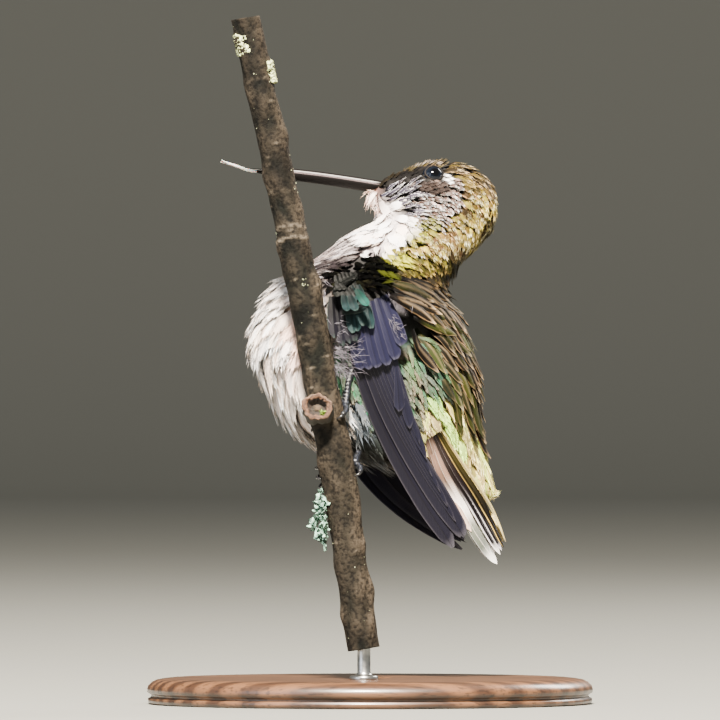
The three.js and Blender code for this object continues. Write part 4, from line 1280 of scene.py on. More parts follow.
@dataclass
class Coat:
    """Skin and contour feathers."""

    form: Form
    eyes: "Eyes"
    seed: int = 11
    tries: int = 70000

    def build(self) -> None:
        """Build the skin and every zone of feathers."""
        self.skin()
        roots, kinds = self.form.scattered(self.seed, self.tries)
        finish = FeatherFinish("contour_feathers").material()
        fine = FeatherFinish("head_scales", barb_mm=0.16, contrast=0.15, bump_mm=0.015).material()
        dull = FeatherFinish("shaded_feathers", shine=0.01, roughness=0.9).material()
        for number, zone in enumerate(ZONES):
            chosen = roots[kinds == number]
            if len(chosen):
                small = zone.length < 2.5
                self.grow(zone, chosen, number, dull if zone.name == "shade" else fine if small else finish)

    def skin(self) -> None:
        """Build one skin for head, neck and trunk, inside the coat by its depth."""
        verts, quads = self.form.flesh
        xz, _ = POSE.near_side(verts)
        kinds = zone_of(xz)
        depth = np.array([z.depth for z in ZONES])[kinds]
        neighbours = np.concatenate([quads[:, [0, 1]], quads[:, [1, 2]], quads[:, [2, 3]], quads[:, [3, 0]]])
        count = np.bincount(neighbours.ravel(), minlength=len(verts)).astype(float)

        def calm(values: Array) -> Array:
            """Return values averaged with their neighbours.

            Args:
                values: One row for each vertex.

            Returns:
                The averages.
            """
            total = np.zeros_like(values)
            np.add.at(total, neighbours[:, 0], values[neighbours[:, 1]])
            np.add.at(total, neighbours[:, 1], values[neighbours[:, 0]])
            return total / np.maximum(count, 1).reshape(-1, *[1] * (values.ndim - 1))

        for _ in range(14):
            depth = calm(depth)
        inner = verts - self.form.flesh_normals * depth[:, None]
        for _ in range(5):
            inner = inner * 0.4 + calm(inner) * 0.6
        # the skin takes the roots' dark colours: down, and painted shade where it shows between the feathers
        tint = np.array([rgba(z.root) for z in ZONES])[kinds]
        for _ in range(3):
            tint = calm(tint)
        tint = marked(tint, xz, 0.6)
        mesh_piece("skin", inner, quads, SkinFinish().material(), "plumage", ("head", "neck", "trunk"),
                   tint=tint, uv={"OFBake": unwrap(verts)})

    def grow(self, zone: Zone, roots: Array, number: int, material: Material) -> None:
        """Grow one zone's feathers.

        Args:
            zone: What they are like.
            roots: Where they grow.
            number: The zone's number, for the seed.
            material: Their finish.
        """
        rng = np.random.default_rng(self.seed * 100 + number)
        n = len(roots)
        size = rng.uniform(0.85, 1.15, n)
        length, width = zone.length * size, zone.width * size * rng.uniform(0.9, 1.1, n)
        rows = {Make.SCALE: 5, Make.WEBBED: 6, Make.LANCE: 9, Make.PLUME: 8}[zone.make]
        turn = rng.normal(0, 0.1 if zone.make is Make.SCALE else 0.16, n)
        lift = zone.lift * rng.uniform(0.4, 1.5, n)
        path, normal = self.form.laid(roots, length, rows, np.full(n, zone.depth * 0.8), lift, turn)
        over = self.form.to_drape(roots) & zone.over
        if over.any():
            path[over], normal[over] = self.form.draped(roots[over], length[over], rows, zone.depth * 0.5,
                                                        lift[over], turn[over])
        path[~over] = under_wing(path[~over])
        clear = ~self.eyes.covers(path).any(1)
        path, normal, width, uv = path[clear], normal[clear], width[clear], unwrap(roots[clear])
        shade = np.exp(rng.normal(0, zone.vary, len(uv)))
        share = np.linspace(0, 1, rows)
        outline, marks, cut = {
            Make.SCALE: ((0.5, 0.92, 1.0, 0.95, 0.8), (0.6, 1), 0.3),
            Make.WEBBED: ((0.45, 0.85, 0.9, 0.7, 0.3), (0.6, 1), 0.25),
            Make.LANCE: ((0.4, 0.9, 1.0, 0.66, 0.12), (0.4, 0.82, 1), 0.1),
            Make.PLUME: ((0.3, 0.6, 0.66, 0.45, 0.06), (0.5, 1), 0.05)}[zone.make]
        half = width[:, None] / 2 * np.interp(share, [0, 0.3, 0.65, 0.88, 1], outline)[None]
        jag = 0.05 if zone.make is Make.SCALE else 0.1
        parts = [Vanes(path, normal, half, half, uv, mirrored_marks(*marks), cut, min(0.3, 0.06 + zone.lift),
                       0.045, jag=jag, seed=self.seed + number).build()]
        if zone.barbs and zone.make is not Make.SCALE:
            loose = zone.make is Make.PLUME
            wide, start, inner, sweep, curl, point = (
                (1.25, 0.1, 0.4, 1.7, 0.1, 0.5) if loose else (1.2, 0.35, 0.5, 1.4, 0.07, 0.7))
            parts.append(Barbs(path, normal, width / 2 * wide, uv, zone.barbs, start, sweep, curl,
                               0.085 if zone.length > 2.4 else 0.065, inner, point,
                               self.seed + number).build())
        for part in parts:
            part["tint"] = self.tinted(zone, part, path, shade, rng)
        dressed(f"feathers_{zone.name}", parts, material, "plumage")

    @staticmethod
    def tinted(zone: Zone, part: Batch, path: Array, shade: Array, rng: np.random.Generator) -> Array:
        """Colour a batch: dark root (its down, with painted shade under the feathers above), base, paler
        margin and tip, with the markings over it.

        Args:
            zone: The zone's colours.
            part: A batch.
            path: The feathers' paths.
            shade: Brightness of each feather.
            rng: Random source.

        Returns:
            Linear RGBA per vertex.
        """
        along, across, feather = part["along"], np.abs(part["across"]), part["feather"]
        root, base, edge, tip = (rgba(c, zone.gloss) for c in (zone.root, zone.base, zone.edge, zone.tip))
        lance = zone.make is Make.LANCE
        colour = faded(root, base, ease(along, 0.12, 0.5))
        colour = faded(colour, edge, ease(across, 0.83 if lance else 0.7, 1.0) * ease(along, 0.15, 0.5) * 0.9)
        colour = faded(colour, tip, ease(along, 0.93 if lance else 0.84, 1.02) * 0.8)
        if lance:
            colour = faded(colour, tip, (1 - ease(across, 0.02, 0.14)) * 0.22 * ease(along, 0.1, 0.4))
        if zone.accent:
            other = rng.random(len(shade)) ** 2.2
            spread = other[feather] * (1 - ease(across, 0.7, 1.0) * 0.6) * ease(along, 0.1, 0.4)
            colour = faded(colour, rgba(zone.accent, zone.accent_gloss), spread)
        colour[:, :3] *= shade[feather][:, None]
        xz, _ = POSE.near_side(path[:, int(path.shape[1] * 0.7)])
        warm = rng.normal(0, 0.05, (len(shade), 1)) * np.array([1, 0, -1])
        colour[:, :3] *= 1 + warm[feather]
        colour = marked(colour, xz[feather], 0.25 + 0.75 * ease(along, 0.25, 0.6))
        return np.clip(colour, 0, 1)


# ------------------------------------------------------------------ lofts


def row_at(rows: tuple[tuple[float, ...], ...], t: Array | float) -> Array:
    """Read a table of rows with a smooth curve through them.

    Args:
        rows: Rows of numbers.
        t: Places from 0 to 1.

    Returns:
        Interpolated rows, one per place.
    """
    table = np.array(rows, float)
    t = np.atleast_1d(np.asarray(t, float))
    place = np.clip(t, 0, 1) * (len(table) - 1)
    i = np.minimum(np.floor(place).astype(int), len(table) - 2)
    f = (place - i)[:, None]
    p0, p1, p2, p3 = (table[np.clip(i + k, 0, len(table) - 1)] for k in (-1, 0, 1, 2))
    return 0.5 * (2 * p1 + (p2 - p0) * f + (2 * p0 - 5 * p1 + 4 * p2 - p3) * f ** 2
                  + (3 * p1 - p0 - 3 * p2 + p3) * f ** 3)


def loft(rings: Array) -> Mesh:
    """Skin a stack of rings into a closed form.

    Args:
        rings: Rings x sides x 3; sides turn left-handed about the way the rings advance, so faces point out.

    Returns:
        Vertices and triangles.
    """
    count, sides, _ = rings.shape
    verts = np.concatenate([rings.reshape(-1, 3), rings[0].mean(0)[None], rings[-1].mean(0)[None]])
    body = triangles(grid_faces(count, sides, around=True)[:, ::-1])
    i = np.arange(sides)
    j = (i + 1) % sides
    first = np.stack([np.full(sides, count * sides), i, j], 1)
    last = np.stack([np.full(sides, count * sides + 1), (count - 1) * sides + j, (count - 1) * sides + i], 1)
    return outward(verts, np.concatenate([body, first, last]))


def outward(verts: Array, faces: Array) -> Mesh:
    """Return a closed mesh with its faces turned outwards.

    Args:
        verts: Its vertices.
        faces: Its triangles.

    Returns:
        The same vertices, and the triangles turned.
    """
    a, b, c = (verts[faces[:, i]] for i in range(3))
    volume = (a * np.cross(b, c)).sum()
    return verts, faces if volume > 0 else faces[:, ::-1]


def tube(points: Array, radius: Array, sides: int, wave: Array | None = None) -> Mesh:
    """Make a closed round limb along a curve.

    Args:
        points: The curve, n x 3.
        radius: Radius at each point.
        sides: Sides of the limb.
        wave: Radius factor per point and side, or None.

    Returns:
        Vertices and triangles.
    """
    tangent = unit(np.gradient(points, axis=0))
    seed = np.array([0.0, 0.0, 1.0]) if abs(tangent[0, 2]) < 0.8 else np.array([1.0, 0.0, 0.0])
    normal = unit(seed - tangent[0] * (seed @ tangent[0]))
    rings = []
    angle = turns(sides)
    for k, (p, t) in enumerate(zip(points, tangent)):
        normal = unit(normal - t * (normal @ t))
        other = np.cross(t, normal)
        r = radius[k] * (1 if wave is None else wave[k][:, None])
        rings.append(p + r * circle(angle, normal, other))
    return loft(np.array(rings))


def smooth_curve(points: Array, count: int) -> Array:
    """Return a smooth curve of so many points through some."""
    return row_at(tuple(map(tuple, points)), np.linspace(0, 1, count))


def many(parts: list[Mesh]) -> Mesh:
    """Join plain meshes into one."""
    start = np.cumsum([0] + [len(v) for v, _ in parts])
    return np.concatenate([v for v, _ in parts]), np.concatenate([triangles(f) + s for (_, f),
                                                                  s in zip(parts, start)])


# ------------------------------------------------------------------ bill, tongue and eyes


@dataclass(frozen=True)
class BillFinish:
    """Blackish horn; the paler band along its flank is a painted highlight in the tint."""

    name: str = "bill_keratin"

    def material(self) -> Material:
        """Build the material.

        Returns:
            The finish, ready to use.
        """
        material, tree, shader = new_material(self.name)
        tint = tint_of(tree)
        grain = noise(tree, 0.5, 5)
        colour = mottle(tree, tint, grain, {0.3: 0.78, 0.7: 1.0})
        plug(tree, shader, {"Base Color": colour, "Roughness": 0.5, "IOR": 1.54, "Specular IOR Level": 0.08,
                                  "Normal": bumped(tree, grain, 0.02, 0.5)})
        return material


@dataclass
class Bill:
    """Long fine bill with a gape line and slit nostrils, and the tongue out beyond its tip."""

    root: float = 8.5
    length: float = 17.8
    hidden: float = 3.6
    height: float = 1.55
    taper: float = 0.36
    gap: float = 0.035
    rows: int = 90
    sides: int = 28

    def share(self, forward: Array) -> Array:
        """Return the share of the bill's length at a place."""
        return np.clip((forward - self.root) / self.length, 0, 1)

    def axis(self, forward: Array) -> Array:
        """Return the height of the bill's axis in the head's frame."""
        return 0.77 - 0.3 * self.share(forward) + 0.24 * np.sin(math.pi * self.share(forward))

    def depth(self, forward: Array) -> Array:
        """Return the bill's height at a place."""
        s = self.share(forward)
        return self.height * (1 - 0.14 * s) * (1 - 0.72 * ease(s, 1 - self.taper, 1.02))

    def build(self) -> None:
        """Build both halves and the tongue."""
        finish = BillFinish().material()
        self.half("bill_upper", 1, 0.46, self.hidden + self.length, finish)
        self.half("bill_lower", -1, 0.56, self.hidden + self.length - 0.6, finish)
        self.tongue()

    def half(self, name: str, side: int, part: float, length: float, finish: Material) -> None:
        """Build one half of the bill.

        Args:
            name: The solid it stands for, and its own name.
            side: +1 above the gape, -1 below.
            part: Its part of the bill's height.
            length: Its length in mm.
            finish: The material.
        """
        t = np.linspace(0, 1, self.rows)
        forward = self.root - self.hidden + t * length
        height = self.depth(forward)
        tip = np.sqrt(np.clip(1 - ease(t, 0.975, 1.0) * 0.92, 0, 1))
        angle = turns(self.sides)
        lift = np.sin(angle)[None, :]
        deep = (height * part)[:, None]
        keel = 1 + 0.1 * np.clip(lift, 0, 1) ** 3
        up = np.where(lift > 0, deep * 0.74 * lift * keel, deep * 0.26 * np.tanh(lift * 2.2) / np.tanh(2.2))
        wide = (height * 0.56)[:, None] * np.cos(angle)[None, :] * (1 - 0.12 * np.clip(lift, 0, 1) ** 2)
        edge = self.axis(forward)[:, None] + side * ((deep * 0.26) + self.gap)
        if side > 0:  # the nostril is a slit along the base of the upper half, under a soft flap
            behind = (forward[:, None] - (self.root + 0.7)) / 0.9
            slit = np.exp(-behind ** 2) * np.exp(-((lift - 0.42) / 0.16) ** 2)
            wide = wide * (1 - 0.3 * slit)
        points = POSE.in_head(forward[:, None] + 0 * wide, wide * tip[:, None],
                              edge + side * up * tip[:, None])
        verts, faces = loft(points)
        flank = np.concatenate([np.broadcast_to(lift, wide.shape).ravel(), [0, 0]])
        run = np.concatenate([np.repeat(t, self.sides), [0, 1]])
        # painted highlight along each half's flank: near white on the upper half, dim mauve on the lower
        pale, low, high = ("f4f1ef", -1.3, -0.2) if side > 0 else ("8c7d80", -1.3, -0.3)
        highlight_band = ease(flank, low - 0.14, low + 0.08) * (1 - ease(flank, high - 0.1, high + 0.2))
        highlight_band = highlight_band * ease(run, 0.16, 0.22) * (1 - 0.55 * ease(run, 0.86, 1.0)) * 0.9
        tint = faded(rgba("0b0909"), rgba(pale), highlight_band)
        mesh_piece(name, verts, faces, finish, "horn", (name,), tint=tint)

    def tongue(self) -> None:
        """Build the tongue, forked and a little frayed at its end."""
        tip = self.root + self.length
        foot = np.array([tip, 0, float(self.axis(np.array(tip)))])

        def fibre(marks: tuple[tuple[float, float, float], ...], radii: tuple[float, float], count: int,
                  sides: int
                  ) -> Mesh:
            """Return a thread through marks that stand forward, left and up from the bill's tip."""
            line = POSE.in_head(*(np.array(marks) + foot).T)
            return tube(smooth_curve(line, count), np.linspace(*radii, count), sides)

        parts = [fibre(((-0.9, 0, -0.02), (0.25, 0, -0.05), (1.95, 0.1, 0.27), (3.1, 0.16, 0.44)),
                       (0.2, 0.15), 18, 10)]
        for fork in (-1, 1):
            ends = ((3.0, 0.16 + 0.05 * fork, 0.43), (3.55, 0.18 + 0.11 * fork, 0.52 + 0.03 * fork),
                    (4.0, 0.2 + 0.16 * fork, 0.62 + 0.06 * fork))
            parts.append(fibre(ends, (0.12, 0.035), 9, 8))
        verts, faces = many(parts)
        material, tree, shader = new_material("tongue_tissue")
        grain = noise(tree, 0.4, 3)
        plug(tree, shader,
             {"Base Color": ramp(tree, grain, {0.3: "a9aaa6", 0.7: "dcdcd8"}), "Roughness": 0.25,
                                  "IOR": 1.4, "Subsurface Weight": 0.3, "Subsurface Scale": 0.0003,
                                  "Normal": bumped(tree, grain, 0.02)})
        mesh_piece("tongue_fork", verts, faces, material, "tongue", ("tongue",))


@dataclass
class Eyes:
    """Dark wet eyeballs in bare lids."""

    forward: float = 2.15
    side: float = 3.1
    up: float = 1.6
    radius: float = 1.5
    gaze: tuple[float, float, float] = (0.12, 1.0, 0.0)
    half_wide: float = math.radians(44)
    half_high: float = math.radians(37)

    def frame_of(self, sign: int) -> tuple[Array, Array]:
        """Return an eye's centre and its axes as columns: along the lids, across them and out.

        Args:
            sign: +1 for the left eye, -1 for the right.

        Returns:
            The centre, and the axes, 3 x 3.
        """
        centre = POSE.in_head(np.array(self.forward), np.array(self.side * sign), np.array(self.up))
        out = unit(POSE.head_axes @ np.array([self.gaze[0], self.gaze[1] * sign, self.gaze[2]]))
        along = unit(POSE.head_axes @ np.array([1.0, 0, 0.12]))
        along = unit(along - out * (along @ out))
        return centre, np.stack([along, np.cross(out, along), out], 1)

    def covers(self, points: Array) -> Array:
        """Say which points hang in front of an eye's opening.

        Args:
            points: Points in mm.

        Returns:
            A flag for each.
        """
        hit = np.zeros(points.shape[:-1], bool)
        for sign in (1, -1):
            centre, axes = self.frame_of(sign)
            local = (points - centre) @ axes
            flat = (local[..., 0] / math.sin(self.half_wide)) ** 2 + (local[..., 1]
                                                                      / math.sin(self.half_high)) ** 2
            hit |= (flat < (self.radius * 1.12) ** 2) & (local[..., 2] > 0.4)
        return hit

    def build(self) -> None:
        """Build both eyes and their lids."""
        iris, tree, shader = new_material("wet_dark_eye")
        out = tint_of(tree)
        plug(tree, shader, {"Base Color": out, "Roughness": 0.06, "IOR": 1.38})
        lid, tree, shader = new_material("lid_skin")
        tint = tint_of(tree)
        grain = noise(tree, 0.18, 3)
        plug(tree, shader, {"Base Color": mottle(tree, tint, grain, {0.3: 0.7, 0.7: 1.0}),
                                  "Roughness": 0.6, "IOR": 1.45, "Specular IOR Level": 0.15,
                            "Normal": bumped(tree, grain, 0.05)})
        for word, sign in (("left", 1), ("right", -1)):
            centre, axes = self.frame_of(sign)
            self.ball(word, centre, axes, iris)
            self.lids(word, centre, axes, lid)

    def ball(self, word: str, centre: Array, axes: Array, material: Material) -> None:
        """Build an eyeball with a cornea that stands a little proud.

        Args:
            word: Left or right.
            centre: The eye's centre.
            axes: Its axes.
            material: Its finish.
        """
        sides, polar = 48, np.linspace(0.02, math.pi - 0.02, 40)
        r = self.radius * (1 + 0.045 * (1 - ease(polar, 0.35, 0.75)))
        verts, faces = loft(centre + globe(polar, sides) * r[:, None, None] @ axes.T)
        tilt = np.concatenate([np.repeat(polar, sides), [0, math.pi]])
        pupil, iris, rim = (rgba(c) for c in ("020203", "060a12", "0c121b"))
        tint = faded(faded(pupil, iris, ease(tilt, 0.3, 0.5)), rim, ease(tilt, 0.62, 0.85))
        mesh_piece(f"eyeball_{word}", verts, faces, material, "eye", (f"eye_{word}",), tint=tint)

    def lids(self, word: str, centre: Array, axes: Array, material: Material) -> None:
        """Build the ring of bare lids, closed round its own section.

        Args:
            word: Left or right.
            centre: The eye's centre.
            axes: Its axes.
            material: Their finish.
        """
        sides = 56
        angle = turns(sides)
        section = ((1.0, 1.47), (1.0, 1.58), (1.04, 1.63), (1.1, 1.64), (1.2, 1.57), (1.36, 1.44),
                   (1.36, 1.25), (1.1, 1.3))
        beads = 1 + 0.012 * np.cos(angle * 22)
        pointed = 1 + 0.08 * np.abs(np.cos(angle)) ** 6
        rows = []
        for spread, r in section:
            wide, high = self.half_wide * spread * pointed, self.half_high * spread
            tilt = np.hypot(wide * np.cos(angle), high * np.sin(angle))
            spin = np.arctan2(high * np.sin(angle), wide * np.cos(angle))
            far = r * (beads if 1.04 < spread < 1.2 else 1)
            rows.append(np.stack([np.sin(tilt) * np.cos(spin), np.sin(tilt) * np.sin(spin), np.cos(tilt)], -1)
                        * np.reshape(far * np.ones(sides), (-1, 1)) * self.radius / 1.5)
        verts = (centre + np.array(rows) @ axes.T).reshape(-1, 3)
        quads = grid_faces(len(section) + 1, sides, around=True) % len(verts)  # the last ring joins the first
        verts, faces = outward(verts, triangles(quads))
        level = np.repeat((0, 0, 0.35, 1.0, 0.6, 0, 0, 0), sides) * 0.7
        mesh_piece(f"lids_{word}", verts, faces, material, "foot_skin",
                   tint=faded(rgba("070606"), rgba("2e2825"), level))


# ------------------------------------------------------------------ wings and tail


def mirrored_batch(part: Batch) -> Batch:
    """Return a batch as it is on the bird's right."""
    return {**part, "verts": POSE.mirrored(part["verts"]), "faces": part["faces"][:, ::-1]}


def bake_strip(part: Batch, number: int, total: int) -> None:
    """Give a large feather its own strip of the unwrap."""
    strip = (part["across"] * 0.42 + 0.5 + number) / total
    part["bake"] = np.stack([strip, 0.02 + 0.96 * np.clip(part["along"], 0, 1)], 1)


@dataclass
class Wing:
    """Both folded wings: primaries, secondaries and the coverts over the arm."""

    form: Form
    tips: Line = ((3.3, 38.8), (4.6, 36.6), (6.2, 34.3), (7.2, 32.1), (8.0, 29.7),
                                             (9.2, 27.4), (10.4, 25.1), (11.5, 23.0), (12.4, 20.9),
                  (9.4, 20.2))
    seed: int = 5

    def on_wing(self, x: Array, z: Array, layer: Array) -> Array:
        """Return points on the wing at x and z, some way off its bed."""
        return POSE.on_left(x, z, wing_reach(z) + layer)

    def build(self) -> None:
        """Build both wings."""
        vane = FeatherFinish("flight_feather_vanes", roughness=0.46, shine=0.16, barb_mm=0.34, contrast=0.25,
                             bump_mm=0.02)
        cover = FeatherFinish("wing_coverts", roughness=0.55, shine=0.1, barb_mm=0.2, contrast=0.2,
                              bump_mm=0.02)
        flight, coverts = vane.material(), cover.material()
        primaries, secondaries, over = self.primaries(), self.secondaries(), self.coverts()
        for word, turn in (("left", lambda p: p), ("right", mirrored_batch)):
            hand = [turn(p) for p in primaries]
            # the far hand is folded a little nearer to the tail
            for batch in hand if word == "right" else ():
                drop = np.maximum(0, 30 - batch["verts"][:, 2:]) ** 2
                batch["verts"] = batch["verts"] + drop * (0.035, 0.01, 0.009)
            dressed(f"primaries_{word}", hand, flight, "flight_feather", (f"wing_{word}_primaries",))
            dressed(f"secondaries_{word}", [turn(p) for p in secondaries], flight, "flight_feather",
                    (f"wing_{word}_secondaries",))
            dressed(f"coverts_{word}", [turn(p) for p in over], coverts, "plumage", (f"wing_{word}_coverts",))

    def feather(self, path: Array, normal: Array, leading: Array, trailing: Array, number: int, total: int,
                tip_cut: float, jag: float = 0.012) -> Batch:
        """Lay one large feather.

        Args:
            path: Its shaft.
            normal: Outward direction along it.
            leading: Width of the vane on the leading side, along the shaft.
            trailing: Width of the other vane.
            number: Its number in the row.
            total: Feathers in the row.
            tip_cut: How round its end is.
            jag: How ragged its margin is.

        Returns:
            The batch.
        """
        part = Vanes(path[None], normal[None], trailing[None], leading[None], np.zeros((1, 2)),
                     mirrored_marks(0.06, 0.4, 0.8, 0.96, 1.0), tip_cut, camber=0.1, thickness=0.06,
                     ridge=0.05, jag=jag, seed=self.seed + number).build()
        bake_strip(part, number, total)
        return part

    def shafts(self, count: int, roots: tuple, tips: Array, bows: tuple[float, float], rows: int) -> Array:
        """Return the x and z of a row's shafts.

        Args:
            count: Feathers in the row.
            roots: Roots of the first and the last.
            tips: Tip of each.
            bows: How far the first and the last bend.
            rows: Places along each.

        Returns:
            Points, feathers x rows x 2.
        """
        u = (np.arange(count) + 0.5) / count
        (rx0, rz0), (rx1, rz1) = roots
        root = np.stack([rx0 + (rx1 - rx0) * u, rz0 + (rz1 - rz0) * u], 1)
        share = np.linspace(0, 1, rows)
        line = root[:, None] * (1 - share[None, :, None]) + tips[:, None] * share[None, :, None]
        line[..., 0] -= ((bows[0] + (bows[1] - bows[0]) * u)[:, None]) * np.sin(math.pi * share)[None]
        return line

    def primaries(self) -> list[Batch]:
        """Lay the ten primaries, the innermost on top.

        Returns:
            A batch for each.
        """
        count, rows = 10, 30
        u = (np.arange(count) + 0.5) / count
        lines = self.shafts(count, ((2.6, 49.4), (-4.5, 53.6)), row_at(self.tips, u), (-0.4, 2.25), rows)
        share = np.linspace(0, 1, rows)
        parts = []
        for i in range(count):
            j = min(i + 1, count - 1)
            gap = lines[j] - lines[j - 1]
            run = unit(np.gradient(lines[i], axis=0))
            spacing = np.abs(run[:, 0] * gap[:, 1] - run[:, 1] * gap[:, 0]) + 0.12
            lift = (count - 1 - i) * 0.065 - 0.3
            path = self.on_wing(lines[i][:, 0], lines[i][:, 1], lift + 0.12 * ease(share, 0.9, 1.0))
            normal = np.broadcast_to(-unit(POSE.lateral), path.shape).copy()
            taper = np.interp(share, [0, 0.1, 0.45, 0.85, 0.96, 1], [0.3, 0.7, 1.0, 0.95, 0.7, 0.35])
            leading = np.minimum(spacing * 0.62 + 0.1, 1.3) * taper
            trailing = (np.minimum(spacing * 1.3 + 0.25, 1.9) if i else spacing * 0.7 + 0.3) * taper
            part = self.feather(path, normal, leading, trailing, i, count, 0.06 + 0.05 * (i < 6))
            base = rgba("161625", 0.1) * (1 - i / 13) + rgba("0d0b11", 0.05) * (i / 13)  # violet to dark
            part["tint"] = self.tint(part, base, "49474d", "050406", 0.5 if i < 8 else 0.7)
            parts.append(part)
        return parts

    def secondaries(self) -> list[Batch]:
        """Lay the six secondaries, the innermost on top.

        Returns:
            A batch for each.
        """
        count, rows = 6, 18
        ends = ((-1.2, 43.4), (-0.1, 43.5), (1.0, 43.7), (2.2, 44.0), (3.3, 44.8), (4.1, 46.6))
        tips = row_at(ends, np.arange(6) / 5)
        lines = self.shafts(count, ((-2.6, 51.2), (2.0, 53.2)), tips, (0.5, -0.2), rows)
        share = np.linspace(0, 1, rows)
        parts = []
        for i in range(count):
            path = self.on_wing(lines[i][:, 0], lines[i][:, 1], 0.5 + i * 0.07 + 0.1 * ease(share, 0.8, 1.0))
            normal = np.broadcast_to(-unit(POSE.lateral), path.shape).copy()
            taper = np.interp(share, [0, 0.2, 0.6, 1], [0.6, 0.8, 1.0, 1.0])
            part = self.feather(path, normal, 0.66 * taper, 1.1 * taper, i, count, 0.13)
            part["tint"] = self.tint(part, rgba("17172b", 0.1), "42414e", "0b0a11", 0.6)
            parts.append(part)
        return parts

    @staticmethod
    def tint(part: Batch, base: Array, edge: str, shaft: str, rim: float) -> Array:
        """Colour a flight feather: dark root and shaft, pale thin rim.

        Args:
            part: The feather's batch.
            base: Its main tint.
            edge: Colour of its rim.
            shaft: Colour of its shaft.
            rim: How strongly the rim shows.

        Returns:
            A tint for each vertex.
        """
        along, across = part["along"], part["across"]
        colour = base * (0.72 + 0.28 * ease(along, 0.0, 0.4))[:, None]
        colour = faded(colour, rgba(edge),
                       np.maximum(ease(np.abs(across), 0.93, 1.0), ease(along, 0.965, 1.0)) * rim)
        return faded(colour, rgba(shaft), (1 - ease(np.abs(across), 0.0, 0.06)) * 0.8)

    def coverts(self) -> list[Batch]:
        """Lay the coverts in rows over the arm: greater, median, lesser, and those of the hand.

        Returns:
            A batch for each row.
        """
        rng = np.random.default_rng(self.seed)
        rows = (  # x and z of the first and last root, how many, length, width, angle below +X, colour, lift
            ((-5.2, 52.9), (-3.2, 52.4), 4, 6.0, 1.5, (84, 76), "111017", 0.45),
            ((-3.2, 51.7), (-0.2, 52.7), 4, 3.7, 1.4, (84, 82), "17292b", 0.6),
            ((-3.7, 54.0), (0.4, 54.3), 5, 2.2, 1.2, (84, 66), "162729", 0.8),
            # rows 4 and 5 lie in the shadow under the throat: their near-black is painted shade
            ((-4.5, 54.9), (0.2, 55.4), 8, 1.3, 0.9, (80, 60), "050706", 0.55),
            ((-4.7, 55.6), (-0.9, 56.0), 8, 1.1, 0.75, (80, 60), "050605", 0.6),
            ((0.4, 54.7), (1.0, 54.9), 1, 2.6, 1.2, (58, 54), "123f38", 1.1),
        )
        parts = []
        for number, (first, last, count, length, width, lie, colour, lift) in enumerate(rows):
            t = (np.arange(count) + rng.normal(0, 0.08, count) + 0.5) / count
            x = first[0] + (last[0] - first[0]) * t
            z = first[1] + (last[1] - first[1]) * t + 0.25 * np.sin(math.pi * t)
            angle = np.radians(lie[0] + (lie[1] - lie[0]) * t + rng.normal(0, 3, count))
            share = np.linspace(0, 1, 9)
            size = rng.uniform(0.9, 1.1, count) * length
            px = x[:, None] + np.cos(angle)[:, None] * size[:, None] * share
            pz = z[:, None] - np.sin(angle)[:, None] * size[:, None] * share
            path, normal = self.on_arm(px, pz, lift - 0.35 + 0.25 * ease(share, 0.5, 1.0))
            path = path - normal * (0.02 * (np.arange(count) % 2))[:, None, None]
            half = np.full((count, 1), width / 2) * np.interp(share, [0, 0.3, 0.7, 0.92, 1],
                                                              [0.5, 0.9, 1, 0.97, 0.9])
            part = Vanes(path, normal, half, half, unwrap(path[:, 0]), mirrored_marks(0.08, 0.45, 0.85, 1.0),
                         tip_cut=0.3, camber=0.28, thickness=0.05, ridge=0.02, jag=0.03, seed=number).build()
            shade = np.exp(rng.normal(0, 0.1, count))[part["feather"]][:, None]
            # painted shade: each covert darkens towards its root, under the row above
            root_shade = (0.35 + 0.65 * ease(part["along"], 0.3, 0.8))[:, None]
            base = rgba(colour, 0.15) * shade * root_shade
            part["tint"] = self.tint(part, base, "3e4e48", "070b0a", 0.45 if number < 3 else 0.05)
            parts.append(part)
        return parts

    def on_arm(self, x: Array, z: Array, lift: Array) -> Laid:
        """Drop points from outside onto the arm.

        Args:
            x: Where they show.
            z: Their heights.
            lift: Height over the arm, along the last axis.

        Returns:
            Points and outward normals.
        """
        inwards = unit(POSE.lateral)
        start = POSE.on_left(x, z, np.full(x.shape, 22.0)).reshape(-1, 3)
        places, normals = np.empty_like(start), np.empty_like(start)
        for i, p in enumerate(start):
            hit, _, face, _ = self.form.tree.ray_cast(Vector(p), Vector(inwards))
            if hit is None:
                hit, _, face, _ = self.form.tree.find_nearest(Vector(p))
            places[i], normals[i] = hit, self.form.normals[self.form.faces[face]].mean(0)
        # below the arm they lie on the secondaries
        bed = self.on_wing(x, z, np.full(x.shape, 0.9)).reshape(-1, 3)
        outer = ((bed - places) @ -inwards) > 0
        places[outer] = bed[outer]
        normals = unit(normals * 0.5 - inwards)
        normals[outer] = -inwards
        return places.reshape(*x.shape, 3) - inwards * lift[..., None], normals.reshape(*x.shape, 3)


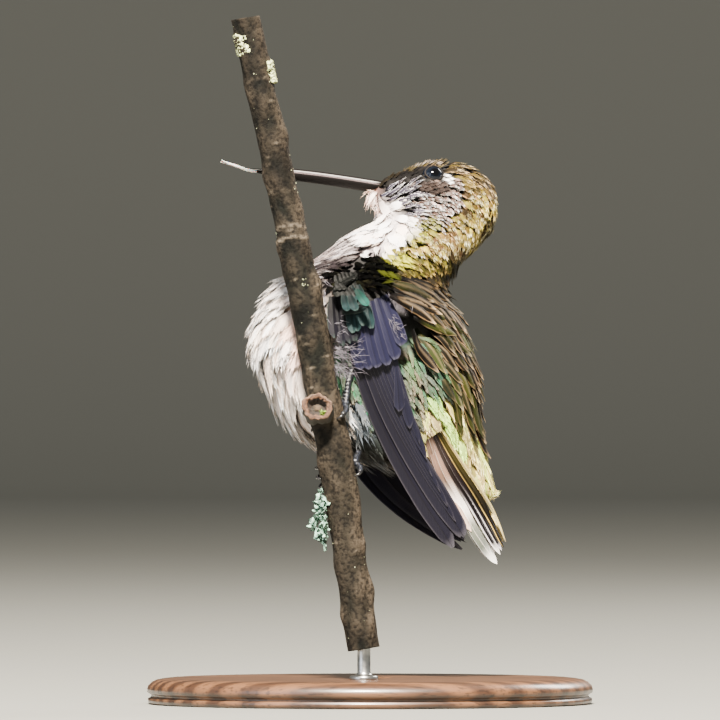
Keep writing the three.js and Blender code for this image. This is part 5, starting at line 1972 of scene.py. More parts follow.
@dataclass
class Tail:
    """Ten tail feathers, closed like a steep roof, with the long pale coverts under them."""

    form: Form
    ridge: Line = ((9.4, 35.6), (12.4, 31.2), (14.9, 27.6), (16.7, 24.4), (17.9, 21.2))
    edge: Line = ((7.4, 34.4), (8.7, 29.9), (10.8, 25.9), (13.1, 21.5), (16.2, 17.5))
    half_width: tuple[tuple[float], ...] = ((1.5,), (2.8,), (3.8,), (4.2,), (3.6,))
    rows: int = 26

    def place(self, spread: Array, along: Array, outwards: Array, most: float = 9.0) -> Array:
        """Return points of the near slope: spread is 0 on the ridge and 1 on the edge.

        Args:
            spread: Places from ridge to edge.
            along: Places from root to tip.
            outwards: Height over the slope.
            most: Greatest distance from the mid-plane.

        Returns:
            Points in mm.
        """
        r, e, w = row_at(self.ridge, along), row_at(self.edge, along), row_at(self.half_width, along)[:, 0]
        px = r[:, 0] * (1 - spread) + e[:, 0] * spread - outwards * 0.5
        pz = r[:, 1] * (1 - spread) + e[:, 1] * spread - outwards * 0.2
        reach = np.maximum(w * spread, np.minimum(self.form.over(px, pz) + 0.6, most))
        for i in range(1, len(reach)):  # they come down from the rump in one even slope
            reach[i] = max(reach[i], reach[i - 1] - 0.42)
        for _ in range(3):
            reach[1:-1] = (reach[:-2] + reach[1:-1] + reach[2:]) / 3
        return POSE.on_left(px, pz, reach + outwards)

    def build(self) -> None:
        """Build both slopes."""
        finish = FeatherFinish("tail_vanes", roughness=0.4, barb_mm=0.36, contrast=0.18, bump_mm=0.02)
        near = [self.feather(k) for k in range(6)]
        far = [mirrored_batch(self.feather(k, 0.6)) for k in range(6)]
        dressed("tail_feathers", near + far, finish.material(), "flight_feather", ("tail",))

    def feather(self, k: int, tuck: float = 1.0) -> Batch:
        """Lay one tail feather, from the central one, 0, to the outermost, 4; 5 is the covert under it.

        Args:
            k: Its number.
            tuck: How closely it is folded in.

        Returns:
            The tinted batch.
        """
        share = np.linspace(0, 1, self.rows)
        middle = (0.03, 0.22, 0.36, 0.5, 0.8, 0.86)[k] * tuck
        length = (1.0, 1.0, 0.985, 0.99, 1.0, 0.72)[k]
        outwards = np.full(self.rows, (0.34, 0.28, 0.21, 0.14, 0.06, 0.2)[k])
        most = 9.0 if tuck == 1 else 2.6
        path, beside = (self.place(np.full(self.rows, at), share * length, outwards, most)
                        for at in (middle, middle + 0.05))
        forward = unit(np.gradient(path, axis=0))
        normal = unit(np.cross(forward, beside - path))
        normal *= np.sign((normal @ -POSE.lateral))[:, None]
        taper = np.interp(share, [0, 0.15, 0.6, 0.88, 0.97, 1], [0.5, 0.8, 1.0, 0.95, 0.55, 0.15])
        low, high = ((0.2, 0.26), (0.4, 0.62), (0.5, 0.8), (0.55, 0.9), (0.95, 1.3), (0.8, 0.7))[k]
        part = Vanes(path[None], normal[None], (high * taper)[None], (low * taper)[None], np.zeros((1, 2)),
                     mirrored_marks(0.07, 0.5, 0.93, 1.0), tip_cut=0.07, camber=0.12, thickness=0.06,
                     ridge=0.05, jag=0.012, seed=k).build()
        bake_strip(part, k, 6)
        bands = (((0.0, "8a7a48"), (0.4, "dcca8c"), (0.8, "d2c48c"), (1.0, "8f8262")),
                 ((0.0, "413b19"), (0.5, "252013"), (0.7, "0d0b0c"), (1.0, "0b0a0a")),
                 ((0.0, "342a25"), (0.4, "251e22"), (0.55, "0d0b0e"), (0.93, "0a090b"), (0.97, "cfc9d2"),
                  (1.0, "efebf0")),
                 ((0.0, "3a302b"), (0.4, "241d1f"), (0.5, "0e0c0f"), (0.88, "0b0a0c"), (0.94, "dedad6"),
                  (1.0, "f5f2ef")),
                 # the outermost feather: its grey-green stretch before the white tip is painted shade
                 ((0.0, "86695a"), (0.3, "a58473"), (0.41, "e6d8ce"), (0.56, "f3ece5"), (0.68, "62655a"),
                  (0.86, "454b44"), (0.93, "e6e4e0"), (1.0, "f7f6f4")),
                 ((0.0, "8f7464"), (0.7, "a18371"), (1.0, "c6ab9b")))[k]
        shares = [place for place, _ in bands]
        table = np.array([rgba(colour, (0.2, 0.3, 0.1, 0.05, 0.0, 0.0)[k]) for _, colour in bands])
        along, across = part["along"], part["across"]
        tint = np.stack([np.interp(along, shares, channel) for channel in table.T], 1)
        rim = ease(np.abs(across), 0.93, 1.0) * 0.5
        if k in (1, 2, 3):  # the pale outer margin shows as a line where the next feather leaves it bare
            bare = ease(across, 0.5, 0.75) * ease(along, *((0.0, 0.1) if k == 1 else (0.35, 0.6)))
            rim = np.maximum(rim, bare * (0.8, 0.7, 0.9)[k - 1])
        tint = faded(tint, rgba("e2dce2" if k > 1 else "d9b96a"), rim)
        # painted shade: each tail feather darkens towards its root, under the rump's feathers
        tint[:, :3] *= (0.12 + 0.88 * ease(along, 0.0, 0.16))[:, None]
        part["tint"] = faded(tint, rgba("1a1514" if k < 4 else "e6dcd4"),
                             (1 - ease(np.abs(across), 0, 0.07)) * 0.6)
        return part


@dataclass
class Down:
    """Loose downy threads over the wing's leading side, at the wrist and behind the secondaries."""

    wing: Wing
    beds: tuple = (  # x and z of first and last root, how many, length, degrees below +X
        (-5.5, 49.6, -5.0, 44.0, 80, 4.2, 8), (-6.1, 55.4, -6.0, 50.4, 20, 2.2, 78),
                   (-5.3, 45.2, -4.4, 43.4, 26, 2.6, 66),
        (2.4, 50.7, 3.7, 47.9, 36, 1.5, 40), (2.1, 53.4, 4.9, 51.9, 40, 1.2, 62))

    def build(self) -> None:
        """Build the threads of both sides."""
        finish = PlainFinish("white_down", "444049", "7c7882", 0.7, 0.8, 0.0).material()
        rng = np.random.default_rng(21)
        share = np.linspace(0, 1, 9)
        meshes, homes = [], []
        for x0, z0, x1, z1, count, length, angle in self.beds:
            each = (count, 1)
            t = rng.random(each)
            wave = rng.uniform(0.2, 0.6,
                               each) * np.sin(share * rng.uniform(3, 7, each) + rng.uniform(0, 6, each))
            lie = np.radians(angle + rng.normal(0, 20, each)) + wave + rng.normal(0, 0.45, each) * share
            step = length * rng.uniform(0.4, 1.15, each) / 8
            x = x0 + (x1 - x0) * t + rng.normal(0, 0.2, each) + np.cumsum(np.cos(lie) * step, 1)
            z = z0 + (z1 - z0) * t + rng.normal(0, 0.2, each) - np.cumsum(np.sin(lie) * step, 1)
            inner = 1.6 if x0 < 0 else 0.6
            layer = 0.75 - inner * (1 - ease(share, 0, 0.4)) + rng.uniform(0, 0.5, each) * np.sin(share * 3)
            path = self.wing.on_wing(x, z, layer)
            for line in path:
                meshes.append(tube(line, np.linspace(0.028, 0.012, 9), 4))
                homes.append(line[0])
        size = [len(m[0]) for m in meshes]
        verts, faces = many(meshes)
        uv = np.repeat(unwrap(np.array(homes)), size, 0) + rng.uniform(-0.001, 0.001, (len(verts), 2))
        mesh_piece("down_threads_left", verts, faces, finish, "plumage", uv={"OFBake": uv})
        mesh_piece("down_threads_right", POSE.mirrored(verts), faces[:, ::-1], finish, "plumage",
                   uv={"OFBake": uv})


# ------------------------------------------------------------------ what repeats: trees of geometry nodes


def steps(count: int) -> Array:
    """Return the edges of a line of so many points."""
    return np.stack([np.arange(count - 1), np.arange(1, count)], 1)


class Spread(Enum):
    """How copies are set out by a tree."""

    OVER_FACES = "scattered over a patch"
    ALONG_LINE = "one after another along a line"


def copies(name: str, bed: Mesh, unit_mesh: Mesh, spread: Spread, count: float,
           smallest: float, largest: float, seed: int, material: Material,
           wobble: float = 0.5) -> bpy.types.Object:
    """Set copies of a small mesh on a bed, through a tree of geometry nodes, as one plain mesh.

    Args:
        name: Piece name.
        bed: Vertices in mm and faces, or edges along a line.
        unit_mesh: The small mesh, in mm, with +Z out of the bed.
        spread: How the copies are set out.
        count: Copies per square mm, or in all along a line.
        smallest: Smallest scale.
        largest: Largest scale.
        seed: Seed.
        material: Their finish.
        wobble: How far each is turned at random, in radians.

    Returns:
        The piece.
    """
    tree = bpy.data.node_groups.new(f"{name}_tree", "GeometryNodeTree")
    sockets = {}
    for label, kind in (("Bed", "Geometry"), ("Copy", "Object"), ("How many", "Float"), ("Smallest", "Float"),
                        ("Largest", "Float"), ("Wobble", "Float"), ("Seed", "Int"), ("Finish", "Material"),
                        ("Made", "Geometry")):
        way = "OUTPUT" if label == "Made" else "INPUT"
        sockets[label] = tree.interface.new_socket(name=label, in_out=way,
                                                   socket_type=f"NodeSocket{kind}").identifier
    source, sink = tree.nodes.new("NodeGroupInput"), tree.nodes.new("NodeGroupOutput")
    given = {s.name: s for s in source.outputs}
    if spread is Spread.OVER_FACES:
        places = add(tree, "GeometryNodeDistributePointsOnFaces",
                     {"Mesh": given["Bed"], "Density": given["How many"], "Seed": given["Seed"]})
        points, turn = places.outputs["Points"], places.outputs["Rotation"]
    else:
        curve = add(tree, "GeometryNodeMeshToCurve", {"Mesh": given["Bed"]})
        line = add(tree, "GeometryNodeResampleCurve", {"Curve": curve.outputs[0], "Count": given["How many"]})
        made = add(tree, "GeometryNodeCurveToPoints", {"Curve": line.outputs[0]}, mode="EVALUATED")
        points, turn = made.outputs["Points"], made.outputs["Rotation"]
    low, high = (maths(tree, "MULTIPLY", given["Wobble"], k) for k in (-1.0, 1.0))
    least, most = (add(tree, "ShaderNodeCombineXYZ",
                       {0: k, 1: k, 2: maths(tree, "MULTIPLY", k, 4.0)}).outputs[0]
                   for k in (low, high))
    spin = add(tree, "FunctionNodeRandomValue", {0: least, 1: most, "Seed": given["Seed"]},
               data_type="FLOAT_VECTOR")
    euler = add(tree, "FunctionNodeEulerToRotation", {0: spin.outputs[0]})
    turned = add(tree, "FunctionNodeRotateRotation", {0: turn, 1: euler.outputs[0]}, rotation_space="LOCAL")
    size = add(tree, "FunctionNodeRandomValue",
               {2: given["Smallest"], 3: given["Largest"], "Seed": given["Seed"]},
               data_type="FLOAT")
    shape = add(tree, "GeometryNodeObjectInfo", {"Object": given["Copy"]})
    instances = add(tree, "GeometryNodeInstanceOnPoints",
                    {"Points": points, "Instance": shape.outputs["Geometry"], "Rotation": turned.outputs[0],
                     "Scale": size.outputs[1]})
    real = add(tree, "GeometryNodeRealizeInstances", {"Geometry": instances.outputs[0]})
    soft = add(tree, "GeometryNodeSetShadeSmooth", {"Geometry": real.outputs[0]})
    end = add(tree, "GeometryNodeSetMaterial", {"Geometry": soft.outputs[0], "Material": given["Finish"]})
    tree.links.new(end.outputs[0], sink.inputs[0])
    made = []
    for label, (verts, cells) in (("bed", bed), ("copy", unit_mesh)):
        mesh = bpy.data.meshes.new(label)
        edges, faces = (cells.tolist(), []) if cells.shape[1] == 2 else ([], cells.tolist())
        mesh.from_pydata((verts * MM).tolist(), edges, faces)
        made.append(in_scene(label, mesh))
    maker = made[0].modifiers.new("copies", "NODES")
    maker.node_group = tree
    per_metre = 1e6 if spread is Spread.OVER_FACES else 1.0
    for label, value in (("Copy", made[1]), ("How many", count * per_metre), ("Smallest", smallest),
                         ("Largest", largest), ("Wobble", wobble), ("Seed", seed), ("Finish", material)):
        maker[sockets[label]] = value
    bpy.context.view_layer.update()
    done = bpy.data.meshes.new_from_object(made[0].evaluated_get(bpy.context.evaluated_depsgraph_get()))
    made[0].modifiers.clear()
    for helper in made:
        bpy.data.objects.remove(helper)
    done.name = name
    if not done.materials:
        done.materials.append(material)
    piece = in_scene(name, done)
    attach(piece, "root")
    LOG.info("%s: %d faces from a tree", name, len(done.polygons))
    return piece


# ------------------------------------------------------------------ twig, legs and stand


@dataclass(frozen=True)
class Toe:
    """One toe round the twig: its height in mm, how far it drops, and its angles in degrees."""

    height: float
    drop: float
    start: float
    end: float


@dataclass
class Twig:
    """Upright twig with its scars, lenticels, lichens and the stub of a side shoot."""

    loops: tuple[tuple[float, float, float], ...] = (
        (-16.1, 88.9, 1.9), (-14.0, 79.0, 1.88), (-11.9, 69.6, 1.9), (-10.0, 60.4, 2.02), (-8.2, 52.2, 2.16),
        (-6.9, 45.4, 2.16), (-5.7, 38.0, 2.2), (-4.1, 30.4, 2.3), (-3.1, 22.9, 2.14), (-1.95, 14.9, 2.1),
        (-0.8, 7.4, 2.06))
    y: float = -12.5
    lean: float = 0.16
    sides: int = 72
    rings: int = 300
    stub_radius: float = 1.8

    def at_height(self, z: Array) -> Array:
        """Return x, z and radius of the twig's middle at heights.

        Args:
            z: Heights in mm.

        Returns:
            One row of x, z and radius for each.
        """
        z = np.atleast_1d(np.asarray(z, float))
        top, bottom = self.loops[0][1], self.loops[-1][1]
        t = (top - z) / (top - bottom)
        for _ in range(8):
            t = t + (row_at(self.loops, t)[:, 1] - z) / (top - bottom)
        return row_at(self.loops, t)

    def on_bark(self, z: Array, angle: Array, outwards: Array | float = 0.0) -> Array:
        """Return points on the bark at heights and angles from +X towards +Y, some way out.

        Args:
            z: Heights in mm.
            angle: Angles in radians.
            outwards: How far out of the bark.

        Returns:
            Points in mm.
        """
        z, angle = np.broadcast_arrays(np.asarray(z, float), np.asarray(angle, float))
        x, _, radius = self.at_height(z.ravel()).T.reshape(3, *z.shape)
        return self.round_stem(x, z, radius + outwards, angle)

    def round_stem(self, x: Array, z: Array, reach: Array, angle: Array) -> Array:
        """Return points round the stem's middle, in the plane square to its lean."""
        ahead, tilt = reach * np.cos(angle), self.lean * reach * np.cos(angle)
        return np.stack([x + ahead, self.y + reach * np.sin(angle), z + tilt], -1)

    def build(self) -> None:
        """Build the twig and all that grows on it."""
        bark = self.bark_finish()
        self.stem(bark)
        self.stub()
        self.growths()

    @staticmethod
    def bark_finish() -> Material:
        """Build smooth olive-brown bark: mottled, with fine cross wrinkles.

        Returns:
            The finish, ready to use.
        """
        material, tree, shader = new_material("olive_bark")
        tint = tint_of(tree)
        coarse, fine = noise(tree, 3.2, 5), noise(tree, 0.5, 6)
        colour = mottle(tree, tint, coarse, {0.32: 0.45, 0.5: 0.8, 0.62: 1.0})
        colour = mottle(tree, colour, fine, {0.38: 0.3, 0.54: 1.0})
        flat = add(tree, "ShaderNodeMapping", {"Vector": place_of(tree), "Scale": (1.6, 1.6, 0.7)}).outputs[0]
        wrinkles = noise(tree, 1.1, 6, flat)
        height = maths(tree, "ADD", maths(tree, "MULTIPLY", wrinkles, 0.6),
                       maths(tree, "MULTIPLY", fine, 0.4))
        plug(tree, shader, {"Base Color": colour, "Roughness": 0.85, "IOR": 1.48, "Specular IOR Level": 0.12,
                                  "Normal": bumped(tree, height, 0.4, 0.9)})
        return material

    def stem(self, bark: Material) -> None:
        """Build the stem, with wrinkles, ring scars and swellings in its form.

        Args:
            bark: Its finish.
        """
        rng = np.random.default_rng(3)
        rows = row_at(self.loops, np.linspace(0, 1, self.rings))
        a, z = np.meshgrid(turns(self.sides), rows[:, 1])
        bulge = np.zeros_like(a)
        for _ in range(60):  # low waves, along and across
            around, tall = rng.integers(1, 9), rng.uniform(-1.6, 1.6)
            bulge += rng.uniform(0.2, 1) * 0.11 / around ** 0.7 * np.sin(around * a + tall * z
                                                                         + rng.uniform(0, 6.3)) / 3
        pale = np.zeros_like(a)
        scars = ((61.7, 0.05, 250, 0.5), (60.2, 0.06, 262, 0.8), (80.7, 0.03, 290, 0.2),
                 (66.2, 0.02, 240, 0.15))
        for place, size, facing, light in scars:
            turn = np.cos(a - math.radians(facing))
            line = place + 0.35 * turn + 0.1 * np.sin(3 * a)
            ring = np.exp(-((z - line) / 0.2) ** 2)
            bulge += size * ring - size * 0.8 * np.exp(-((z - line + 0.5) / 0.25) ** 2)
            pale += light * ring * ease(turn, -0.1, 0.75)
        for place, facing, size, reach in ((82.0, 8, 0.5, 1.1), (86.2, 195, 0.2, 1.0), (61.0, 330, 0.14, 1.3),
                                           (38.4, 262, 0.5, 2.0), (31.5, 200, 0.15, 1.4),
                                           (20.6, 330, 0.25, 1.0),
                                           (73.5, 350, 0.3, 1.2), (68.8, 185, 0.25, 1.3),
                                           (59.6, 190, 0.3, 1.0),
                                           (54.6, 345, 0.35, 1.2), (47.0, 195, 0.12, 2.0),
                                           (26.0, 185, 0.35, 1.3),
                                           (14.5, 10, 0.3, 1.4), (12.0, 190, 0.3, 1.1)):
            off = np.arccos(np.clip(np.cos(a - math.radians(facing)), -1, 1)) * 2.1
            bulge += size * np.exp(-((z - place) ** 2 + off ** 2) / reach ** 2)
        for u, v, w in rng.uniform(0, 1, (150, 3)):  # lenticels: small pale lips across the bark
            place, facing = 8 + 80 * u, v * 2 * math.pi
            off = np.arccos(np.clip(np.cos(a - facing), -1, 1)) * 2.1
            lip = np.exp(-((z - place) / 0.13) ** 2 - (off / (0.2 + 0.35 * w)) ** 2)
            bulge += 0.05 * lip
            pale += 0.4 * lip * (w > 0.5)
        verts, faces = loft(self.round_stem(rows[:, :1], z, rows[:, 2:3] + bulge - 0.02, a))
        # the stem is tinted lighter on its +X side as a painted highlight, and darker round z = 48 as painted
        # shade
        flank = 0.5 - 0.5 * np.cos(a - math.radians(262))
        mid = np.exp(-((z - 48) / 15) ** 2)
        mix = np.clip(0.3 + 0.2 * flank + 0.45 * ease(np.cos(a), 0.2, 1.0) - 0.22 * mid + 2.5 * bulge, 0, 1)
        tint = faded(rgba("0d0e0a"), rgba("423a30"), mix)
        tint = faded(tint, rgba("857a6a"), np.clip(pale, 0, 0.85))
        lower = (1.1 - 0.22 * ease(z, 55, 75) - 0.2 * ease(z, 15, 40))[..., None]
        tint = np.clip(tint * lower, 0, 1).reshape(-1, 4)
        tint = np.concatenate([tint, [rgba("8c7c62")] * 2])  # both cut ends
        mesh_piece("twig_stem", verts, faces, bark, "bark", ("perch_stem",), tint=tint)

    def stub(self) -> None:
        """Build the stub: a collar of bark round a cut face with a rotted core and a little moss."""
        base = np.array([-6.75, self.y, 38.5])
        start, end = base + (0.35, -0.6, -0.6), base + (-0.1, -4.3, 0.2)
        axis = unit(end - start)
        side = unit(np.cross(axis, (0, 0, 1)))
        up = np.cross(side, axis)
        n = 64
        angle = turns(n)
        rim = 1 + 0.09 * np.sin(2 * angle + 1) + 0.04 * np.sin(5 * angle) + 0.03 * np.sin(11 * angle + 2)
        reach = np.linalg.norm(end - start)
        section = ((0.0, 1.18, "2c2a1a"), (0.3, 1.06, "24231a"), (0.6, 1.0, "2c281f"), (0.86, 1.0, "30291f"),
                   (0.95, 1.04, "3d3226"), (0.985, 1.0, "5c4635"), (1.0, 0.92, "563a28"),
                   (0.985, 0.83, "3c2719"),
                   (0.975, 0.75, "5f412b"), (0.93, 0.66, "2c1d13"), (0.86, 0.58, "140d08"),
                   (0.78, 0.48, "2a1d12"),
                   (0.74, 0.36, "1c150c"), (0.78, 0.24, "34281a"), (0.8, 0.12, "4a3a26"))
        rows, tint = [], []
        for k, (far, wide, colour) in enumerate(section):
            ragged = rim
            if k >= 5:
                ragged = rim + 0.06 * np.sin(4 * angle + 1.3 * k) + 0.035 * np.sin(13 * angle + 2 * k)
            depth = far * reach + (0.05 * np.sin(5 * angle + k) if 4 <= k <= 9 else 0.0)
            r = self.stub_radius * wide * ragged
            rows.append(start + axis * np.reshape(depth * np.ones(n), (-1, 1))
                        + r[:, None] * circle(angle, side, up))
            tint.append(np.tile(rgba(colour), (n, 1)))
        verts, faces = loft(np.array(rows))
        tint = np.concatenate([*tint, [rgba("2c2a1a"), rgba("4a3a26")]])
        material, tree, shader = new_material("sawn_end_wood")
        colour = tint_of(tree)
        fibre = noise(tree, 0.35, 5)
        plug(tree, shader, {"Base Color": mottle(tree, colour, fibre, {0.3: 0.6, 0.65: 1.0}),
                                  "Roughness": 0.85, "IOR": 1.5, "Normal": bumped(tree, fibre, 0.15)})
        mesh_piece("twig_stub", verts, faces, material, "cut_wood", ("perch_stub",), tint=tint)
        self.moss(start + axis * reach * 0.9 - side * 0.75 - up * 0.75)

    @staticmethod
    def lobe(ruffle: float, long: float, seed: int) -> Mesh:
        """Return one small ruffled lobe of lichen, closed, standing on the origin.

        Args:
            ruffle: How wavy its rim is.
            long: Its length over its width.
            seed: Seed.

        Returns:
            Vertices and triangles.
        """
        rng = np.random.default_rng(seed)
        n = 9
        angle = np.linspace(0, 2 * math.pi, n, endpoint=False)
        r = 0.5 * (1 + ruffle * rng.uniform(-1, 1, n))
        height = long * (0.35 + 0.5 * np.sin(angle / 2) ** 2) + 0.2 * rng.random(n)
        rim = np.stack([r * np.cos(angle), r * np.sin(angle) * 0.7, height], 1)
        verts = np.concatenate([rim, rim * (0.93, 0.93, 1.0) - (0, 0, 0.1),
                                [[0, 0, 0.12 * long], [0, 0, -0.1]]])
        i, j, top = np.arange(n), (np.arange(n) + 1) % n, np.full(n, 2 * n)
        corners = ((top, i, j), (i, n + i, n + j), (i, n + j, j), (n + i, top + 1, n + j))
        return outward(verts, np.concatenate([np.stack(c, 1) for c in corners]))

    def patch(self, z0: float, z1: float, a0: float, a1: float, out: float = 0.0) -> Mesh:
        """Return a patch of the bark between heights in mm and angles in degrees, as a bed for copies.

        Args:
            z0: Lowest height.
            z1: Highest height.
            a0: First angle.
            a1: Last angle.
            out: How far out of the bark.

        Returns:
            Vertices and quads.
        """
        z, a = np.meshgrid(np.linspace(z0, z1, 6), np.radians(np.linspace(a0, a1, 6)), indexing="ij")
        return self.on_bark(z, a, out).reshape(-1, 3), grid_faces(6, 6)[:, ::-1]

    def moss(self, place: Array) -> None:
        """Set a little moss in the stub's core.

        Args:
            place: The middle of the core.
        """
        spot = place + np.array([[-0.3, 0, -0.25], [0.35, 0, -0.3], [0.3, 0, 0.3], [-0.25, 0, 0.35]])
        finish = PlainFinish("green_moss", "46601a", "a9c84a", 0.8, 0.3, 0.05).material()
        copies("stub_moss", (spot, np.array([[0, 1, 2, 3]])), self.lobe(0.4, 1.2, 4), Spread.OVER_FACES, 70,
               0.14, 0.34, 2, finish, 0.8)

    def growths(self) -> None:
        """Set lichens on the bark."""
        pale = PlainFinish("yellow_green_lichen", "646f3e", "e7eeb3", 0.85, 0.5, 0.06).material()
        blue = PlainFinish("blue_green_lichen", "2a4e42", "9cc4ae", 0.85, 0.6, 0.06).material()
        chalk = PlainFinish("chalky_lichen", "5c6048", "a3a888", 0.85, 0.5, 0.05).material()
        for number, (z0, z1, a0, a1, count, low, high, finish, out) in enumerate((
                (84.3, 87.0, 165, 235, 8, 0.9, 1.7, pale, 0.1),
                (84.6, 86.6, 215, 262, 7, 0.6, 1.1, pale, 0.0),
                (80.4, 83.0, -35, 20, 9, 0.45, 1.0, pale, 0.45),
                (60.0, 62.4, -50, 5, 6, 0.22, 0.55, chalk, 0.0),
                (54.2, 55.2, 235, 300, 6, 0.2, 0.5, chalk, 0.0),
                (59.4, 61.8, 150, 205, 4, 0.2, 0.5, chalk, 0.0),
                (66.0, 72.0, -45, 5, 0.8, 0.15, 0.35, chalk, 0.0),
                (46.0, 53.0, 190, 350, 0.35, 0.12, 0.3, chalk, 0.0),
                (8.5, 34.0, 180, 350, 0.3, 0.12, 0.32, chalk, 0.0),
                (72.0, 88.0, 190, 350, 0.5, 0.12, 0.32, chalk, 0.0),
                (18.0, 88.0, 10, 170, 0.25, 0.15, 0.4, chalk, 0.0))):
            copies(f"lichen_{number}", self.patch(z0, z1, a0, a1, out), self.lobe(0.35, 0.9, number),
                   Spread.OVER_FACES, count, low, high, number, finish, 0.5)
        self.tassel(blue)

    def tassel(self, finish: Material) -> None:
        """Hang the stringy lichen on the left of the twig below the bird.

        Args:
            finish: The lichen's finish.
        """
        paths = (((28.6, 185, 0.2), (27.2, 190, 0.45), (26.0, 190, 0.9), (24.8, 188, 1.35), (23.6, 190, 1.7),
                  (22.6, 195, 1.3), (21.6, 195, 1.1)),
                 ((27.4, 205, 0.1), (26.2, 200, 0.35), (25.4, 200, 0.7), (24.6, 205, 0.8), (23.4, 200, 0.65),
                  (22.9, 200, 0.9)),
                 ((26.2, 170, 0.2), (25.0, 178, 1.2), (24.2, 182, 1.8), (23.2, 184, 1.9), (22.4, 182, 1.5)))
        for number, path in enumerate(paths):
            line = smooth_curve(np.array([self.on_bark(z, math.radians(a), out) for z, a, out in path]), 26)
            copies(f"lichen_tassel_{number}", (line, steps(26)), self.lobe(0.6, 1.5, 30 + number),
                   Spread.ALONG_LINE, 24, 0.45, 1.0, 8 + number, finish, 1.2)


@dataclass
class Legs:
    """Short legs, with toes and claws round the twig."""

    twig: Twig
    tarsus_radius: float = 0.4
    toe_radius: float = 0.36
    gap: float = 0.06
    toes: dict[str, tuple[Toe, ...]] = field(default_factory=lambda: {
        "left": (Toe(38.9, 0.2, 20, 165), Toe(38.4, 1.3, 20, 172), Toe(38.0, 2.2, 20, 160),
                 Toe(38.4, 1.5, 8, -62)),
        "right": (Toe(31.4, 0.3, 45, 184), Toe(31.0, 1.2, 45, 192), Toe(30.5, 2.0, 45, 178),
                  Toe(30.9, 1.5, 28, -38))})
    joints: dict[str, tuple[tuple[float, ...], ...]] = field(default_factory=lambda: {
        "left": ((-2.2, -10.4, 43.6), (-2.75, -11.0, 42.0), (38.7, 12)),
        "right": ((-1.2, -6.6, 34.8), (-1.3, -7.6, 33.2), (31.2, 35))})

    def build(self) -> None:
        """Build both legs."""
        skin = self.skin_finish()
        claw = PlainFinish("claw_horn", "0a0a0c", "1c1b1e", 0.3, 0.4, 0.01, 1.54, 0.3).material()
        for word in ("left", "right"):
            knee, ankle, (height, turn) = self.joints[word]
            sole = self.twig.on_bark(height, math.radians(turn), self.tarsus_radius + 0.14)
            bones = smooth_curve(np.array([knee, ankle, np.array(ankle) * 0.45 + sole * 0.55, sole]), 40)
            t = np.linspace(0, 1, len(bones))
            bands = 1 + 0.05 * np.sin(t[:, None] * 60) * np.ones(20)
            radius = self.tarsus_radius * (1.05 - 0.12 * np.sin(math.pi * t) + 0.12 * ease(t, 0.85, 1.0))
            mesh_piece(f"tarsus_{word}", *tube(bones, radius, 20, bands), skin, "foot_skin", (f"leg_{word}",))
            self.scutes(word, bones[4:34], radius[4:34], skin)
            toes, claws = [self.ball(sole)], []
            for toe in self.toes[word]:
                flesh, horn = self.toe(toe, sole)
                toes.append(flesh)
                claws.append(horn)
            mesh_piece(f"toes_{word}", *many(toes), skin, "foot_skin", (f"foot_{word}",))
            mesh_piece(f"claws_{word}", *many(claws), claw, "horn")

    @staticmethod
    def skin_finish() -> Material:
        """Build dusky blue-black scaly skin.

        Returns:
            The finish, ready to use.
        """
        material, tree, shader = new_material("leg_skin")
        scales = add(tree, "ShaderNodeTexVoronoi",
                     {"Vector": place_of(tree), "Scale": 1 / (0.3 * MM)}).outputs["Distance"]
        colour = ramp(tree, scales, {0.1: "2a2f3a", 0.5: "14161c", 0.75: "08090b"})
        plug(tree, shader, {"Base Color": colour, "Roughness": 0.42, "IOR": 1.48,
                                  "Normal": bumped(tree, scales, -0.05)})
        return material

    def ball(self, sole: Array) -> Mesh:
        """Return the pad where the toes meet."""
        return loft(sole + globe(np.linspace(0.08, math.pi - 0.08, 12), 18) * self.tarsus_radius * 1.25)

    def toe(self, toe: Toe, sole: Array) -> tuple[Mesh, Mesh]:
        """Return one toe with its pads, and its claw.

        Args:
            toe: Its sizes.
            sole: Where the toes meet.

        Returns:
            The toe and the claw.
        """
        t = np.linspace(0, 1, 60)
        angle = np.radians(toe.start + (toe.end - toe.start) * t)
        line = self.twig.on_bark(toe.height - toe.drop * t, angle,
                                 self.toe_radius + self.gap + 0.12 * np.sin(math.pi * t))
        line[0] = line[0] * 0.5 + sole * 0.5
        split = 44
        pads = 1 + 0.1 * np.sin(t * math.pi * 2 * 3.5)[:, None] * np.ones(16) + 0.03 * np.sin(t * 90)[:, None]
        size = self.toe_radius * (1 - 0.28 * t)
        flesh = tube(line[:split + 1], np.where(t > 0.7, size * 0.85, size)[:split + 1], 16, pads[:split + 1])
        share = np.linspace(0, 1, 20)
        hook = smooth_curve(line[split - 2:], 20)
        centre = self.twig.at_height(hook[:, 2])
        away = unit(np.stack([hook[:, 0] - centre[:, 0], hook[:, 1] - self.twig.y, np.zeros(20)], 1))
        hook = hook + away * (0.16 * np.sin(math.pi * share) - 0.3 * share ** 2)[:, None]
        horn = tube(hook, 0.23 * (1 - share) ** 0.7 + 0.03, 12)
        return flesh, horn

    def scutes(self, word: str, line: Array, radius: Array, material: Material) -> None:
        """Set a row of plates round the front of the leg.

        Args:
            word: Left or right.
            line: The leg's middle.
            radius: Its radius along that.
            material: Their finish.
        """
        n = 10
        angle = np.linspace(-1.9, 1.9, n)
        inner, outer = float(radius.mean()), float(radius.mean()) * 1.1
        verts = np.concatenate([np.stack([r * np.cos(angle), r * np.sin(angle), np.full(n, z)], 1)
                                for r, z in ((inner, -0.16), (outer, -0.1), (outer, 0.1), (inner, 0.16))])
        ends = [[0, n, 2 * n, 3 * n], [n - 1, 4 * n - 1, 3 * n - 1, 2 * n - 1]]
        back = [[i, 3 * n + i, 3 * n + i + 1, i + 1] for i in range(n - 1)]
        plate = outward(verts, triangles(np.concatenate([grid_faces(4, n), ends, back])))
        copies(f"scutes_{word}", (line, steps(len(line))), plate, Spread.ALONG_LINE, 9, 0.97, 1.03, 1,
               material,
               0.0)


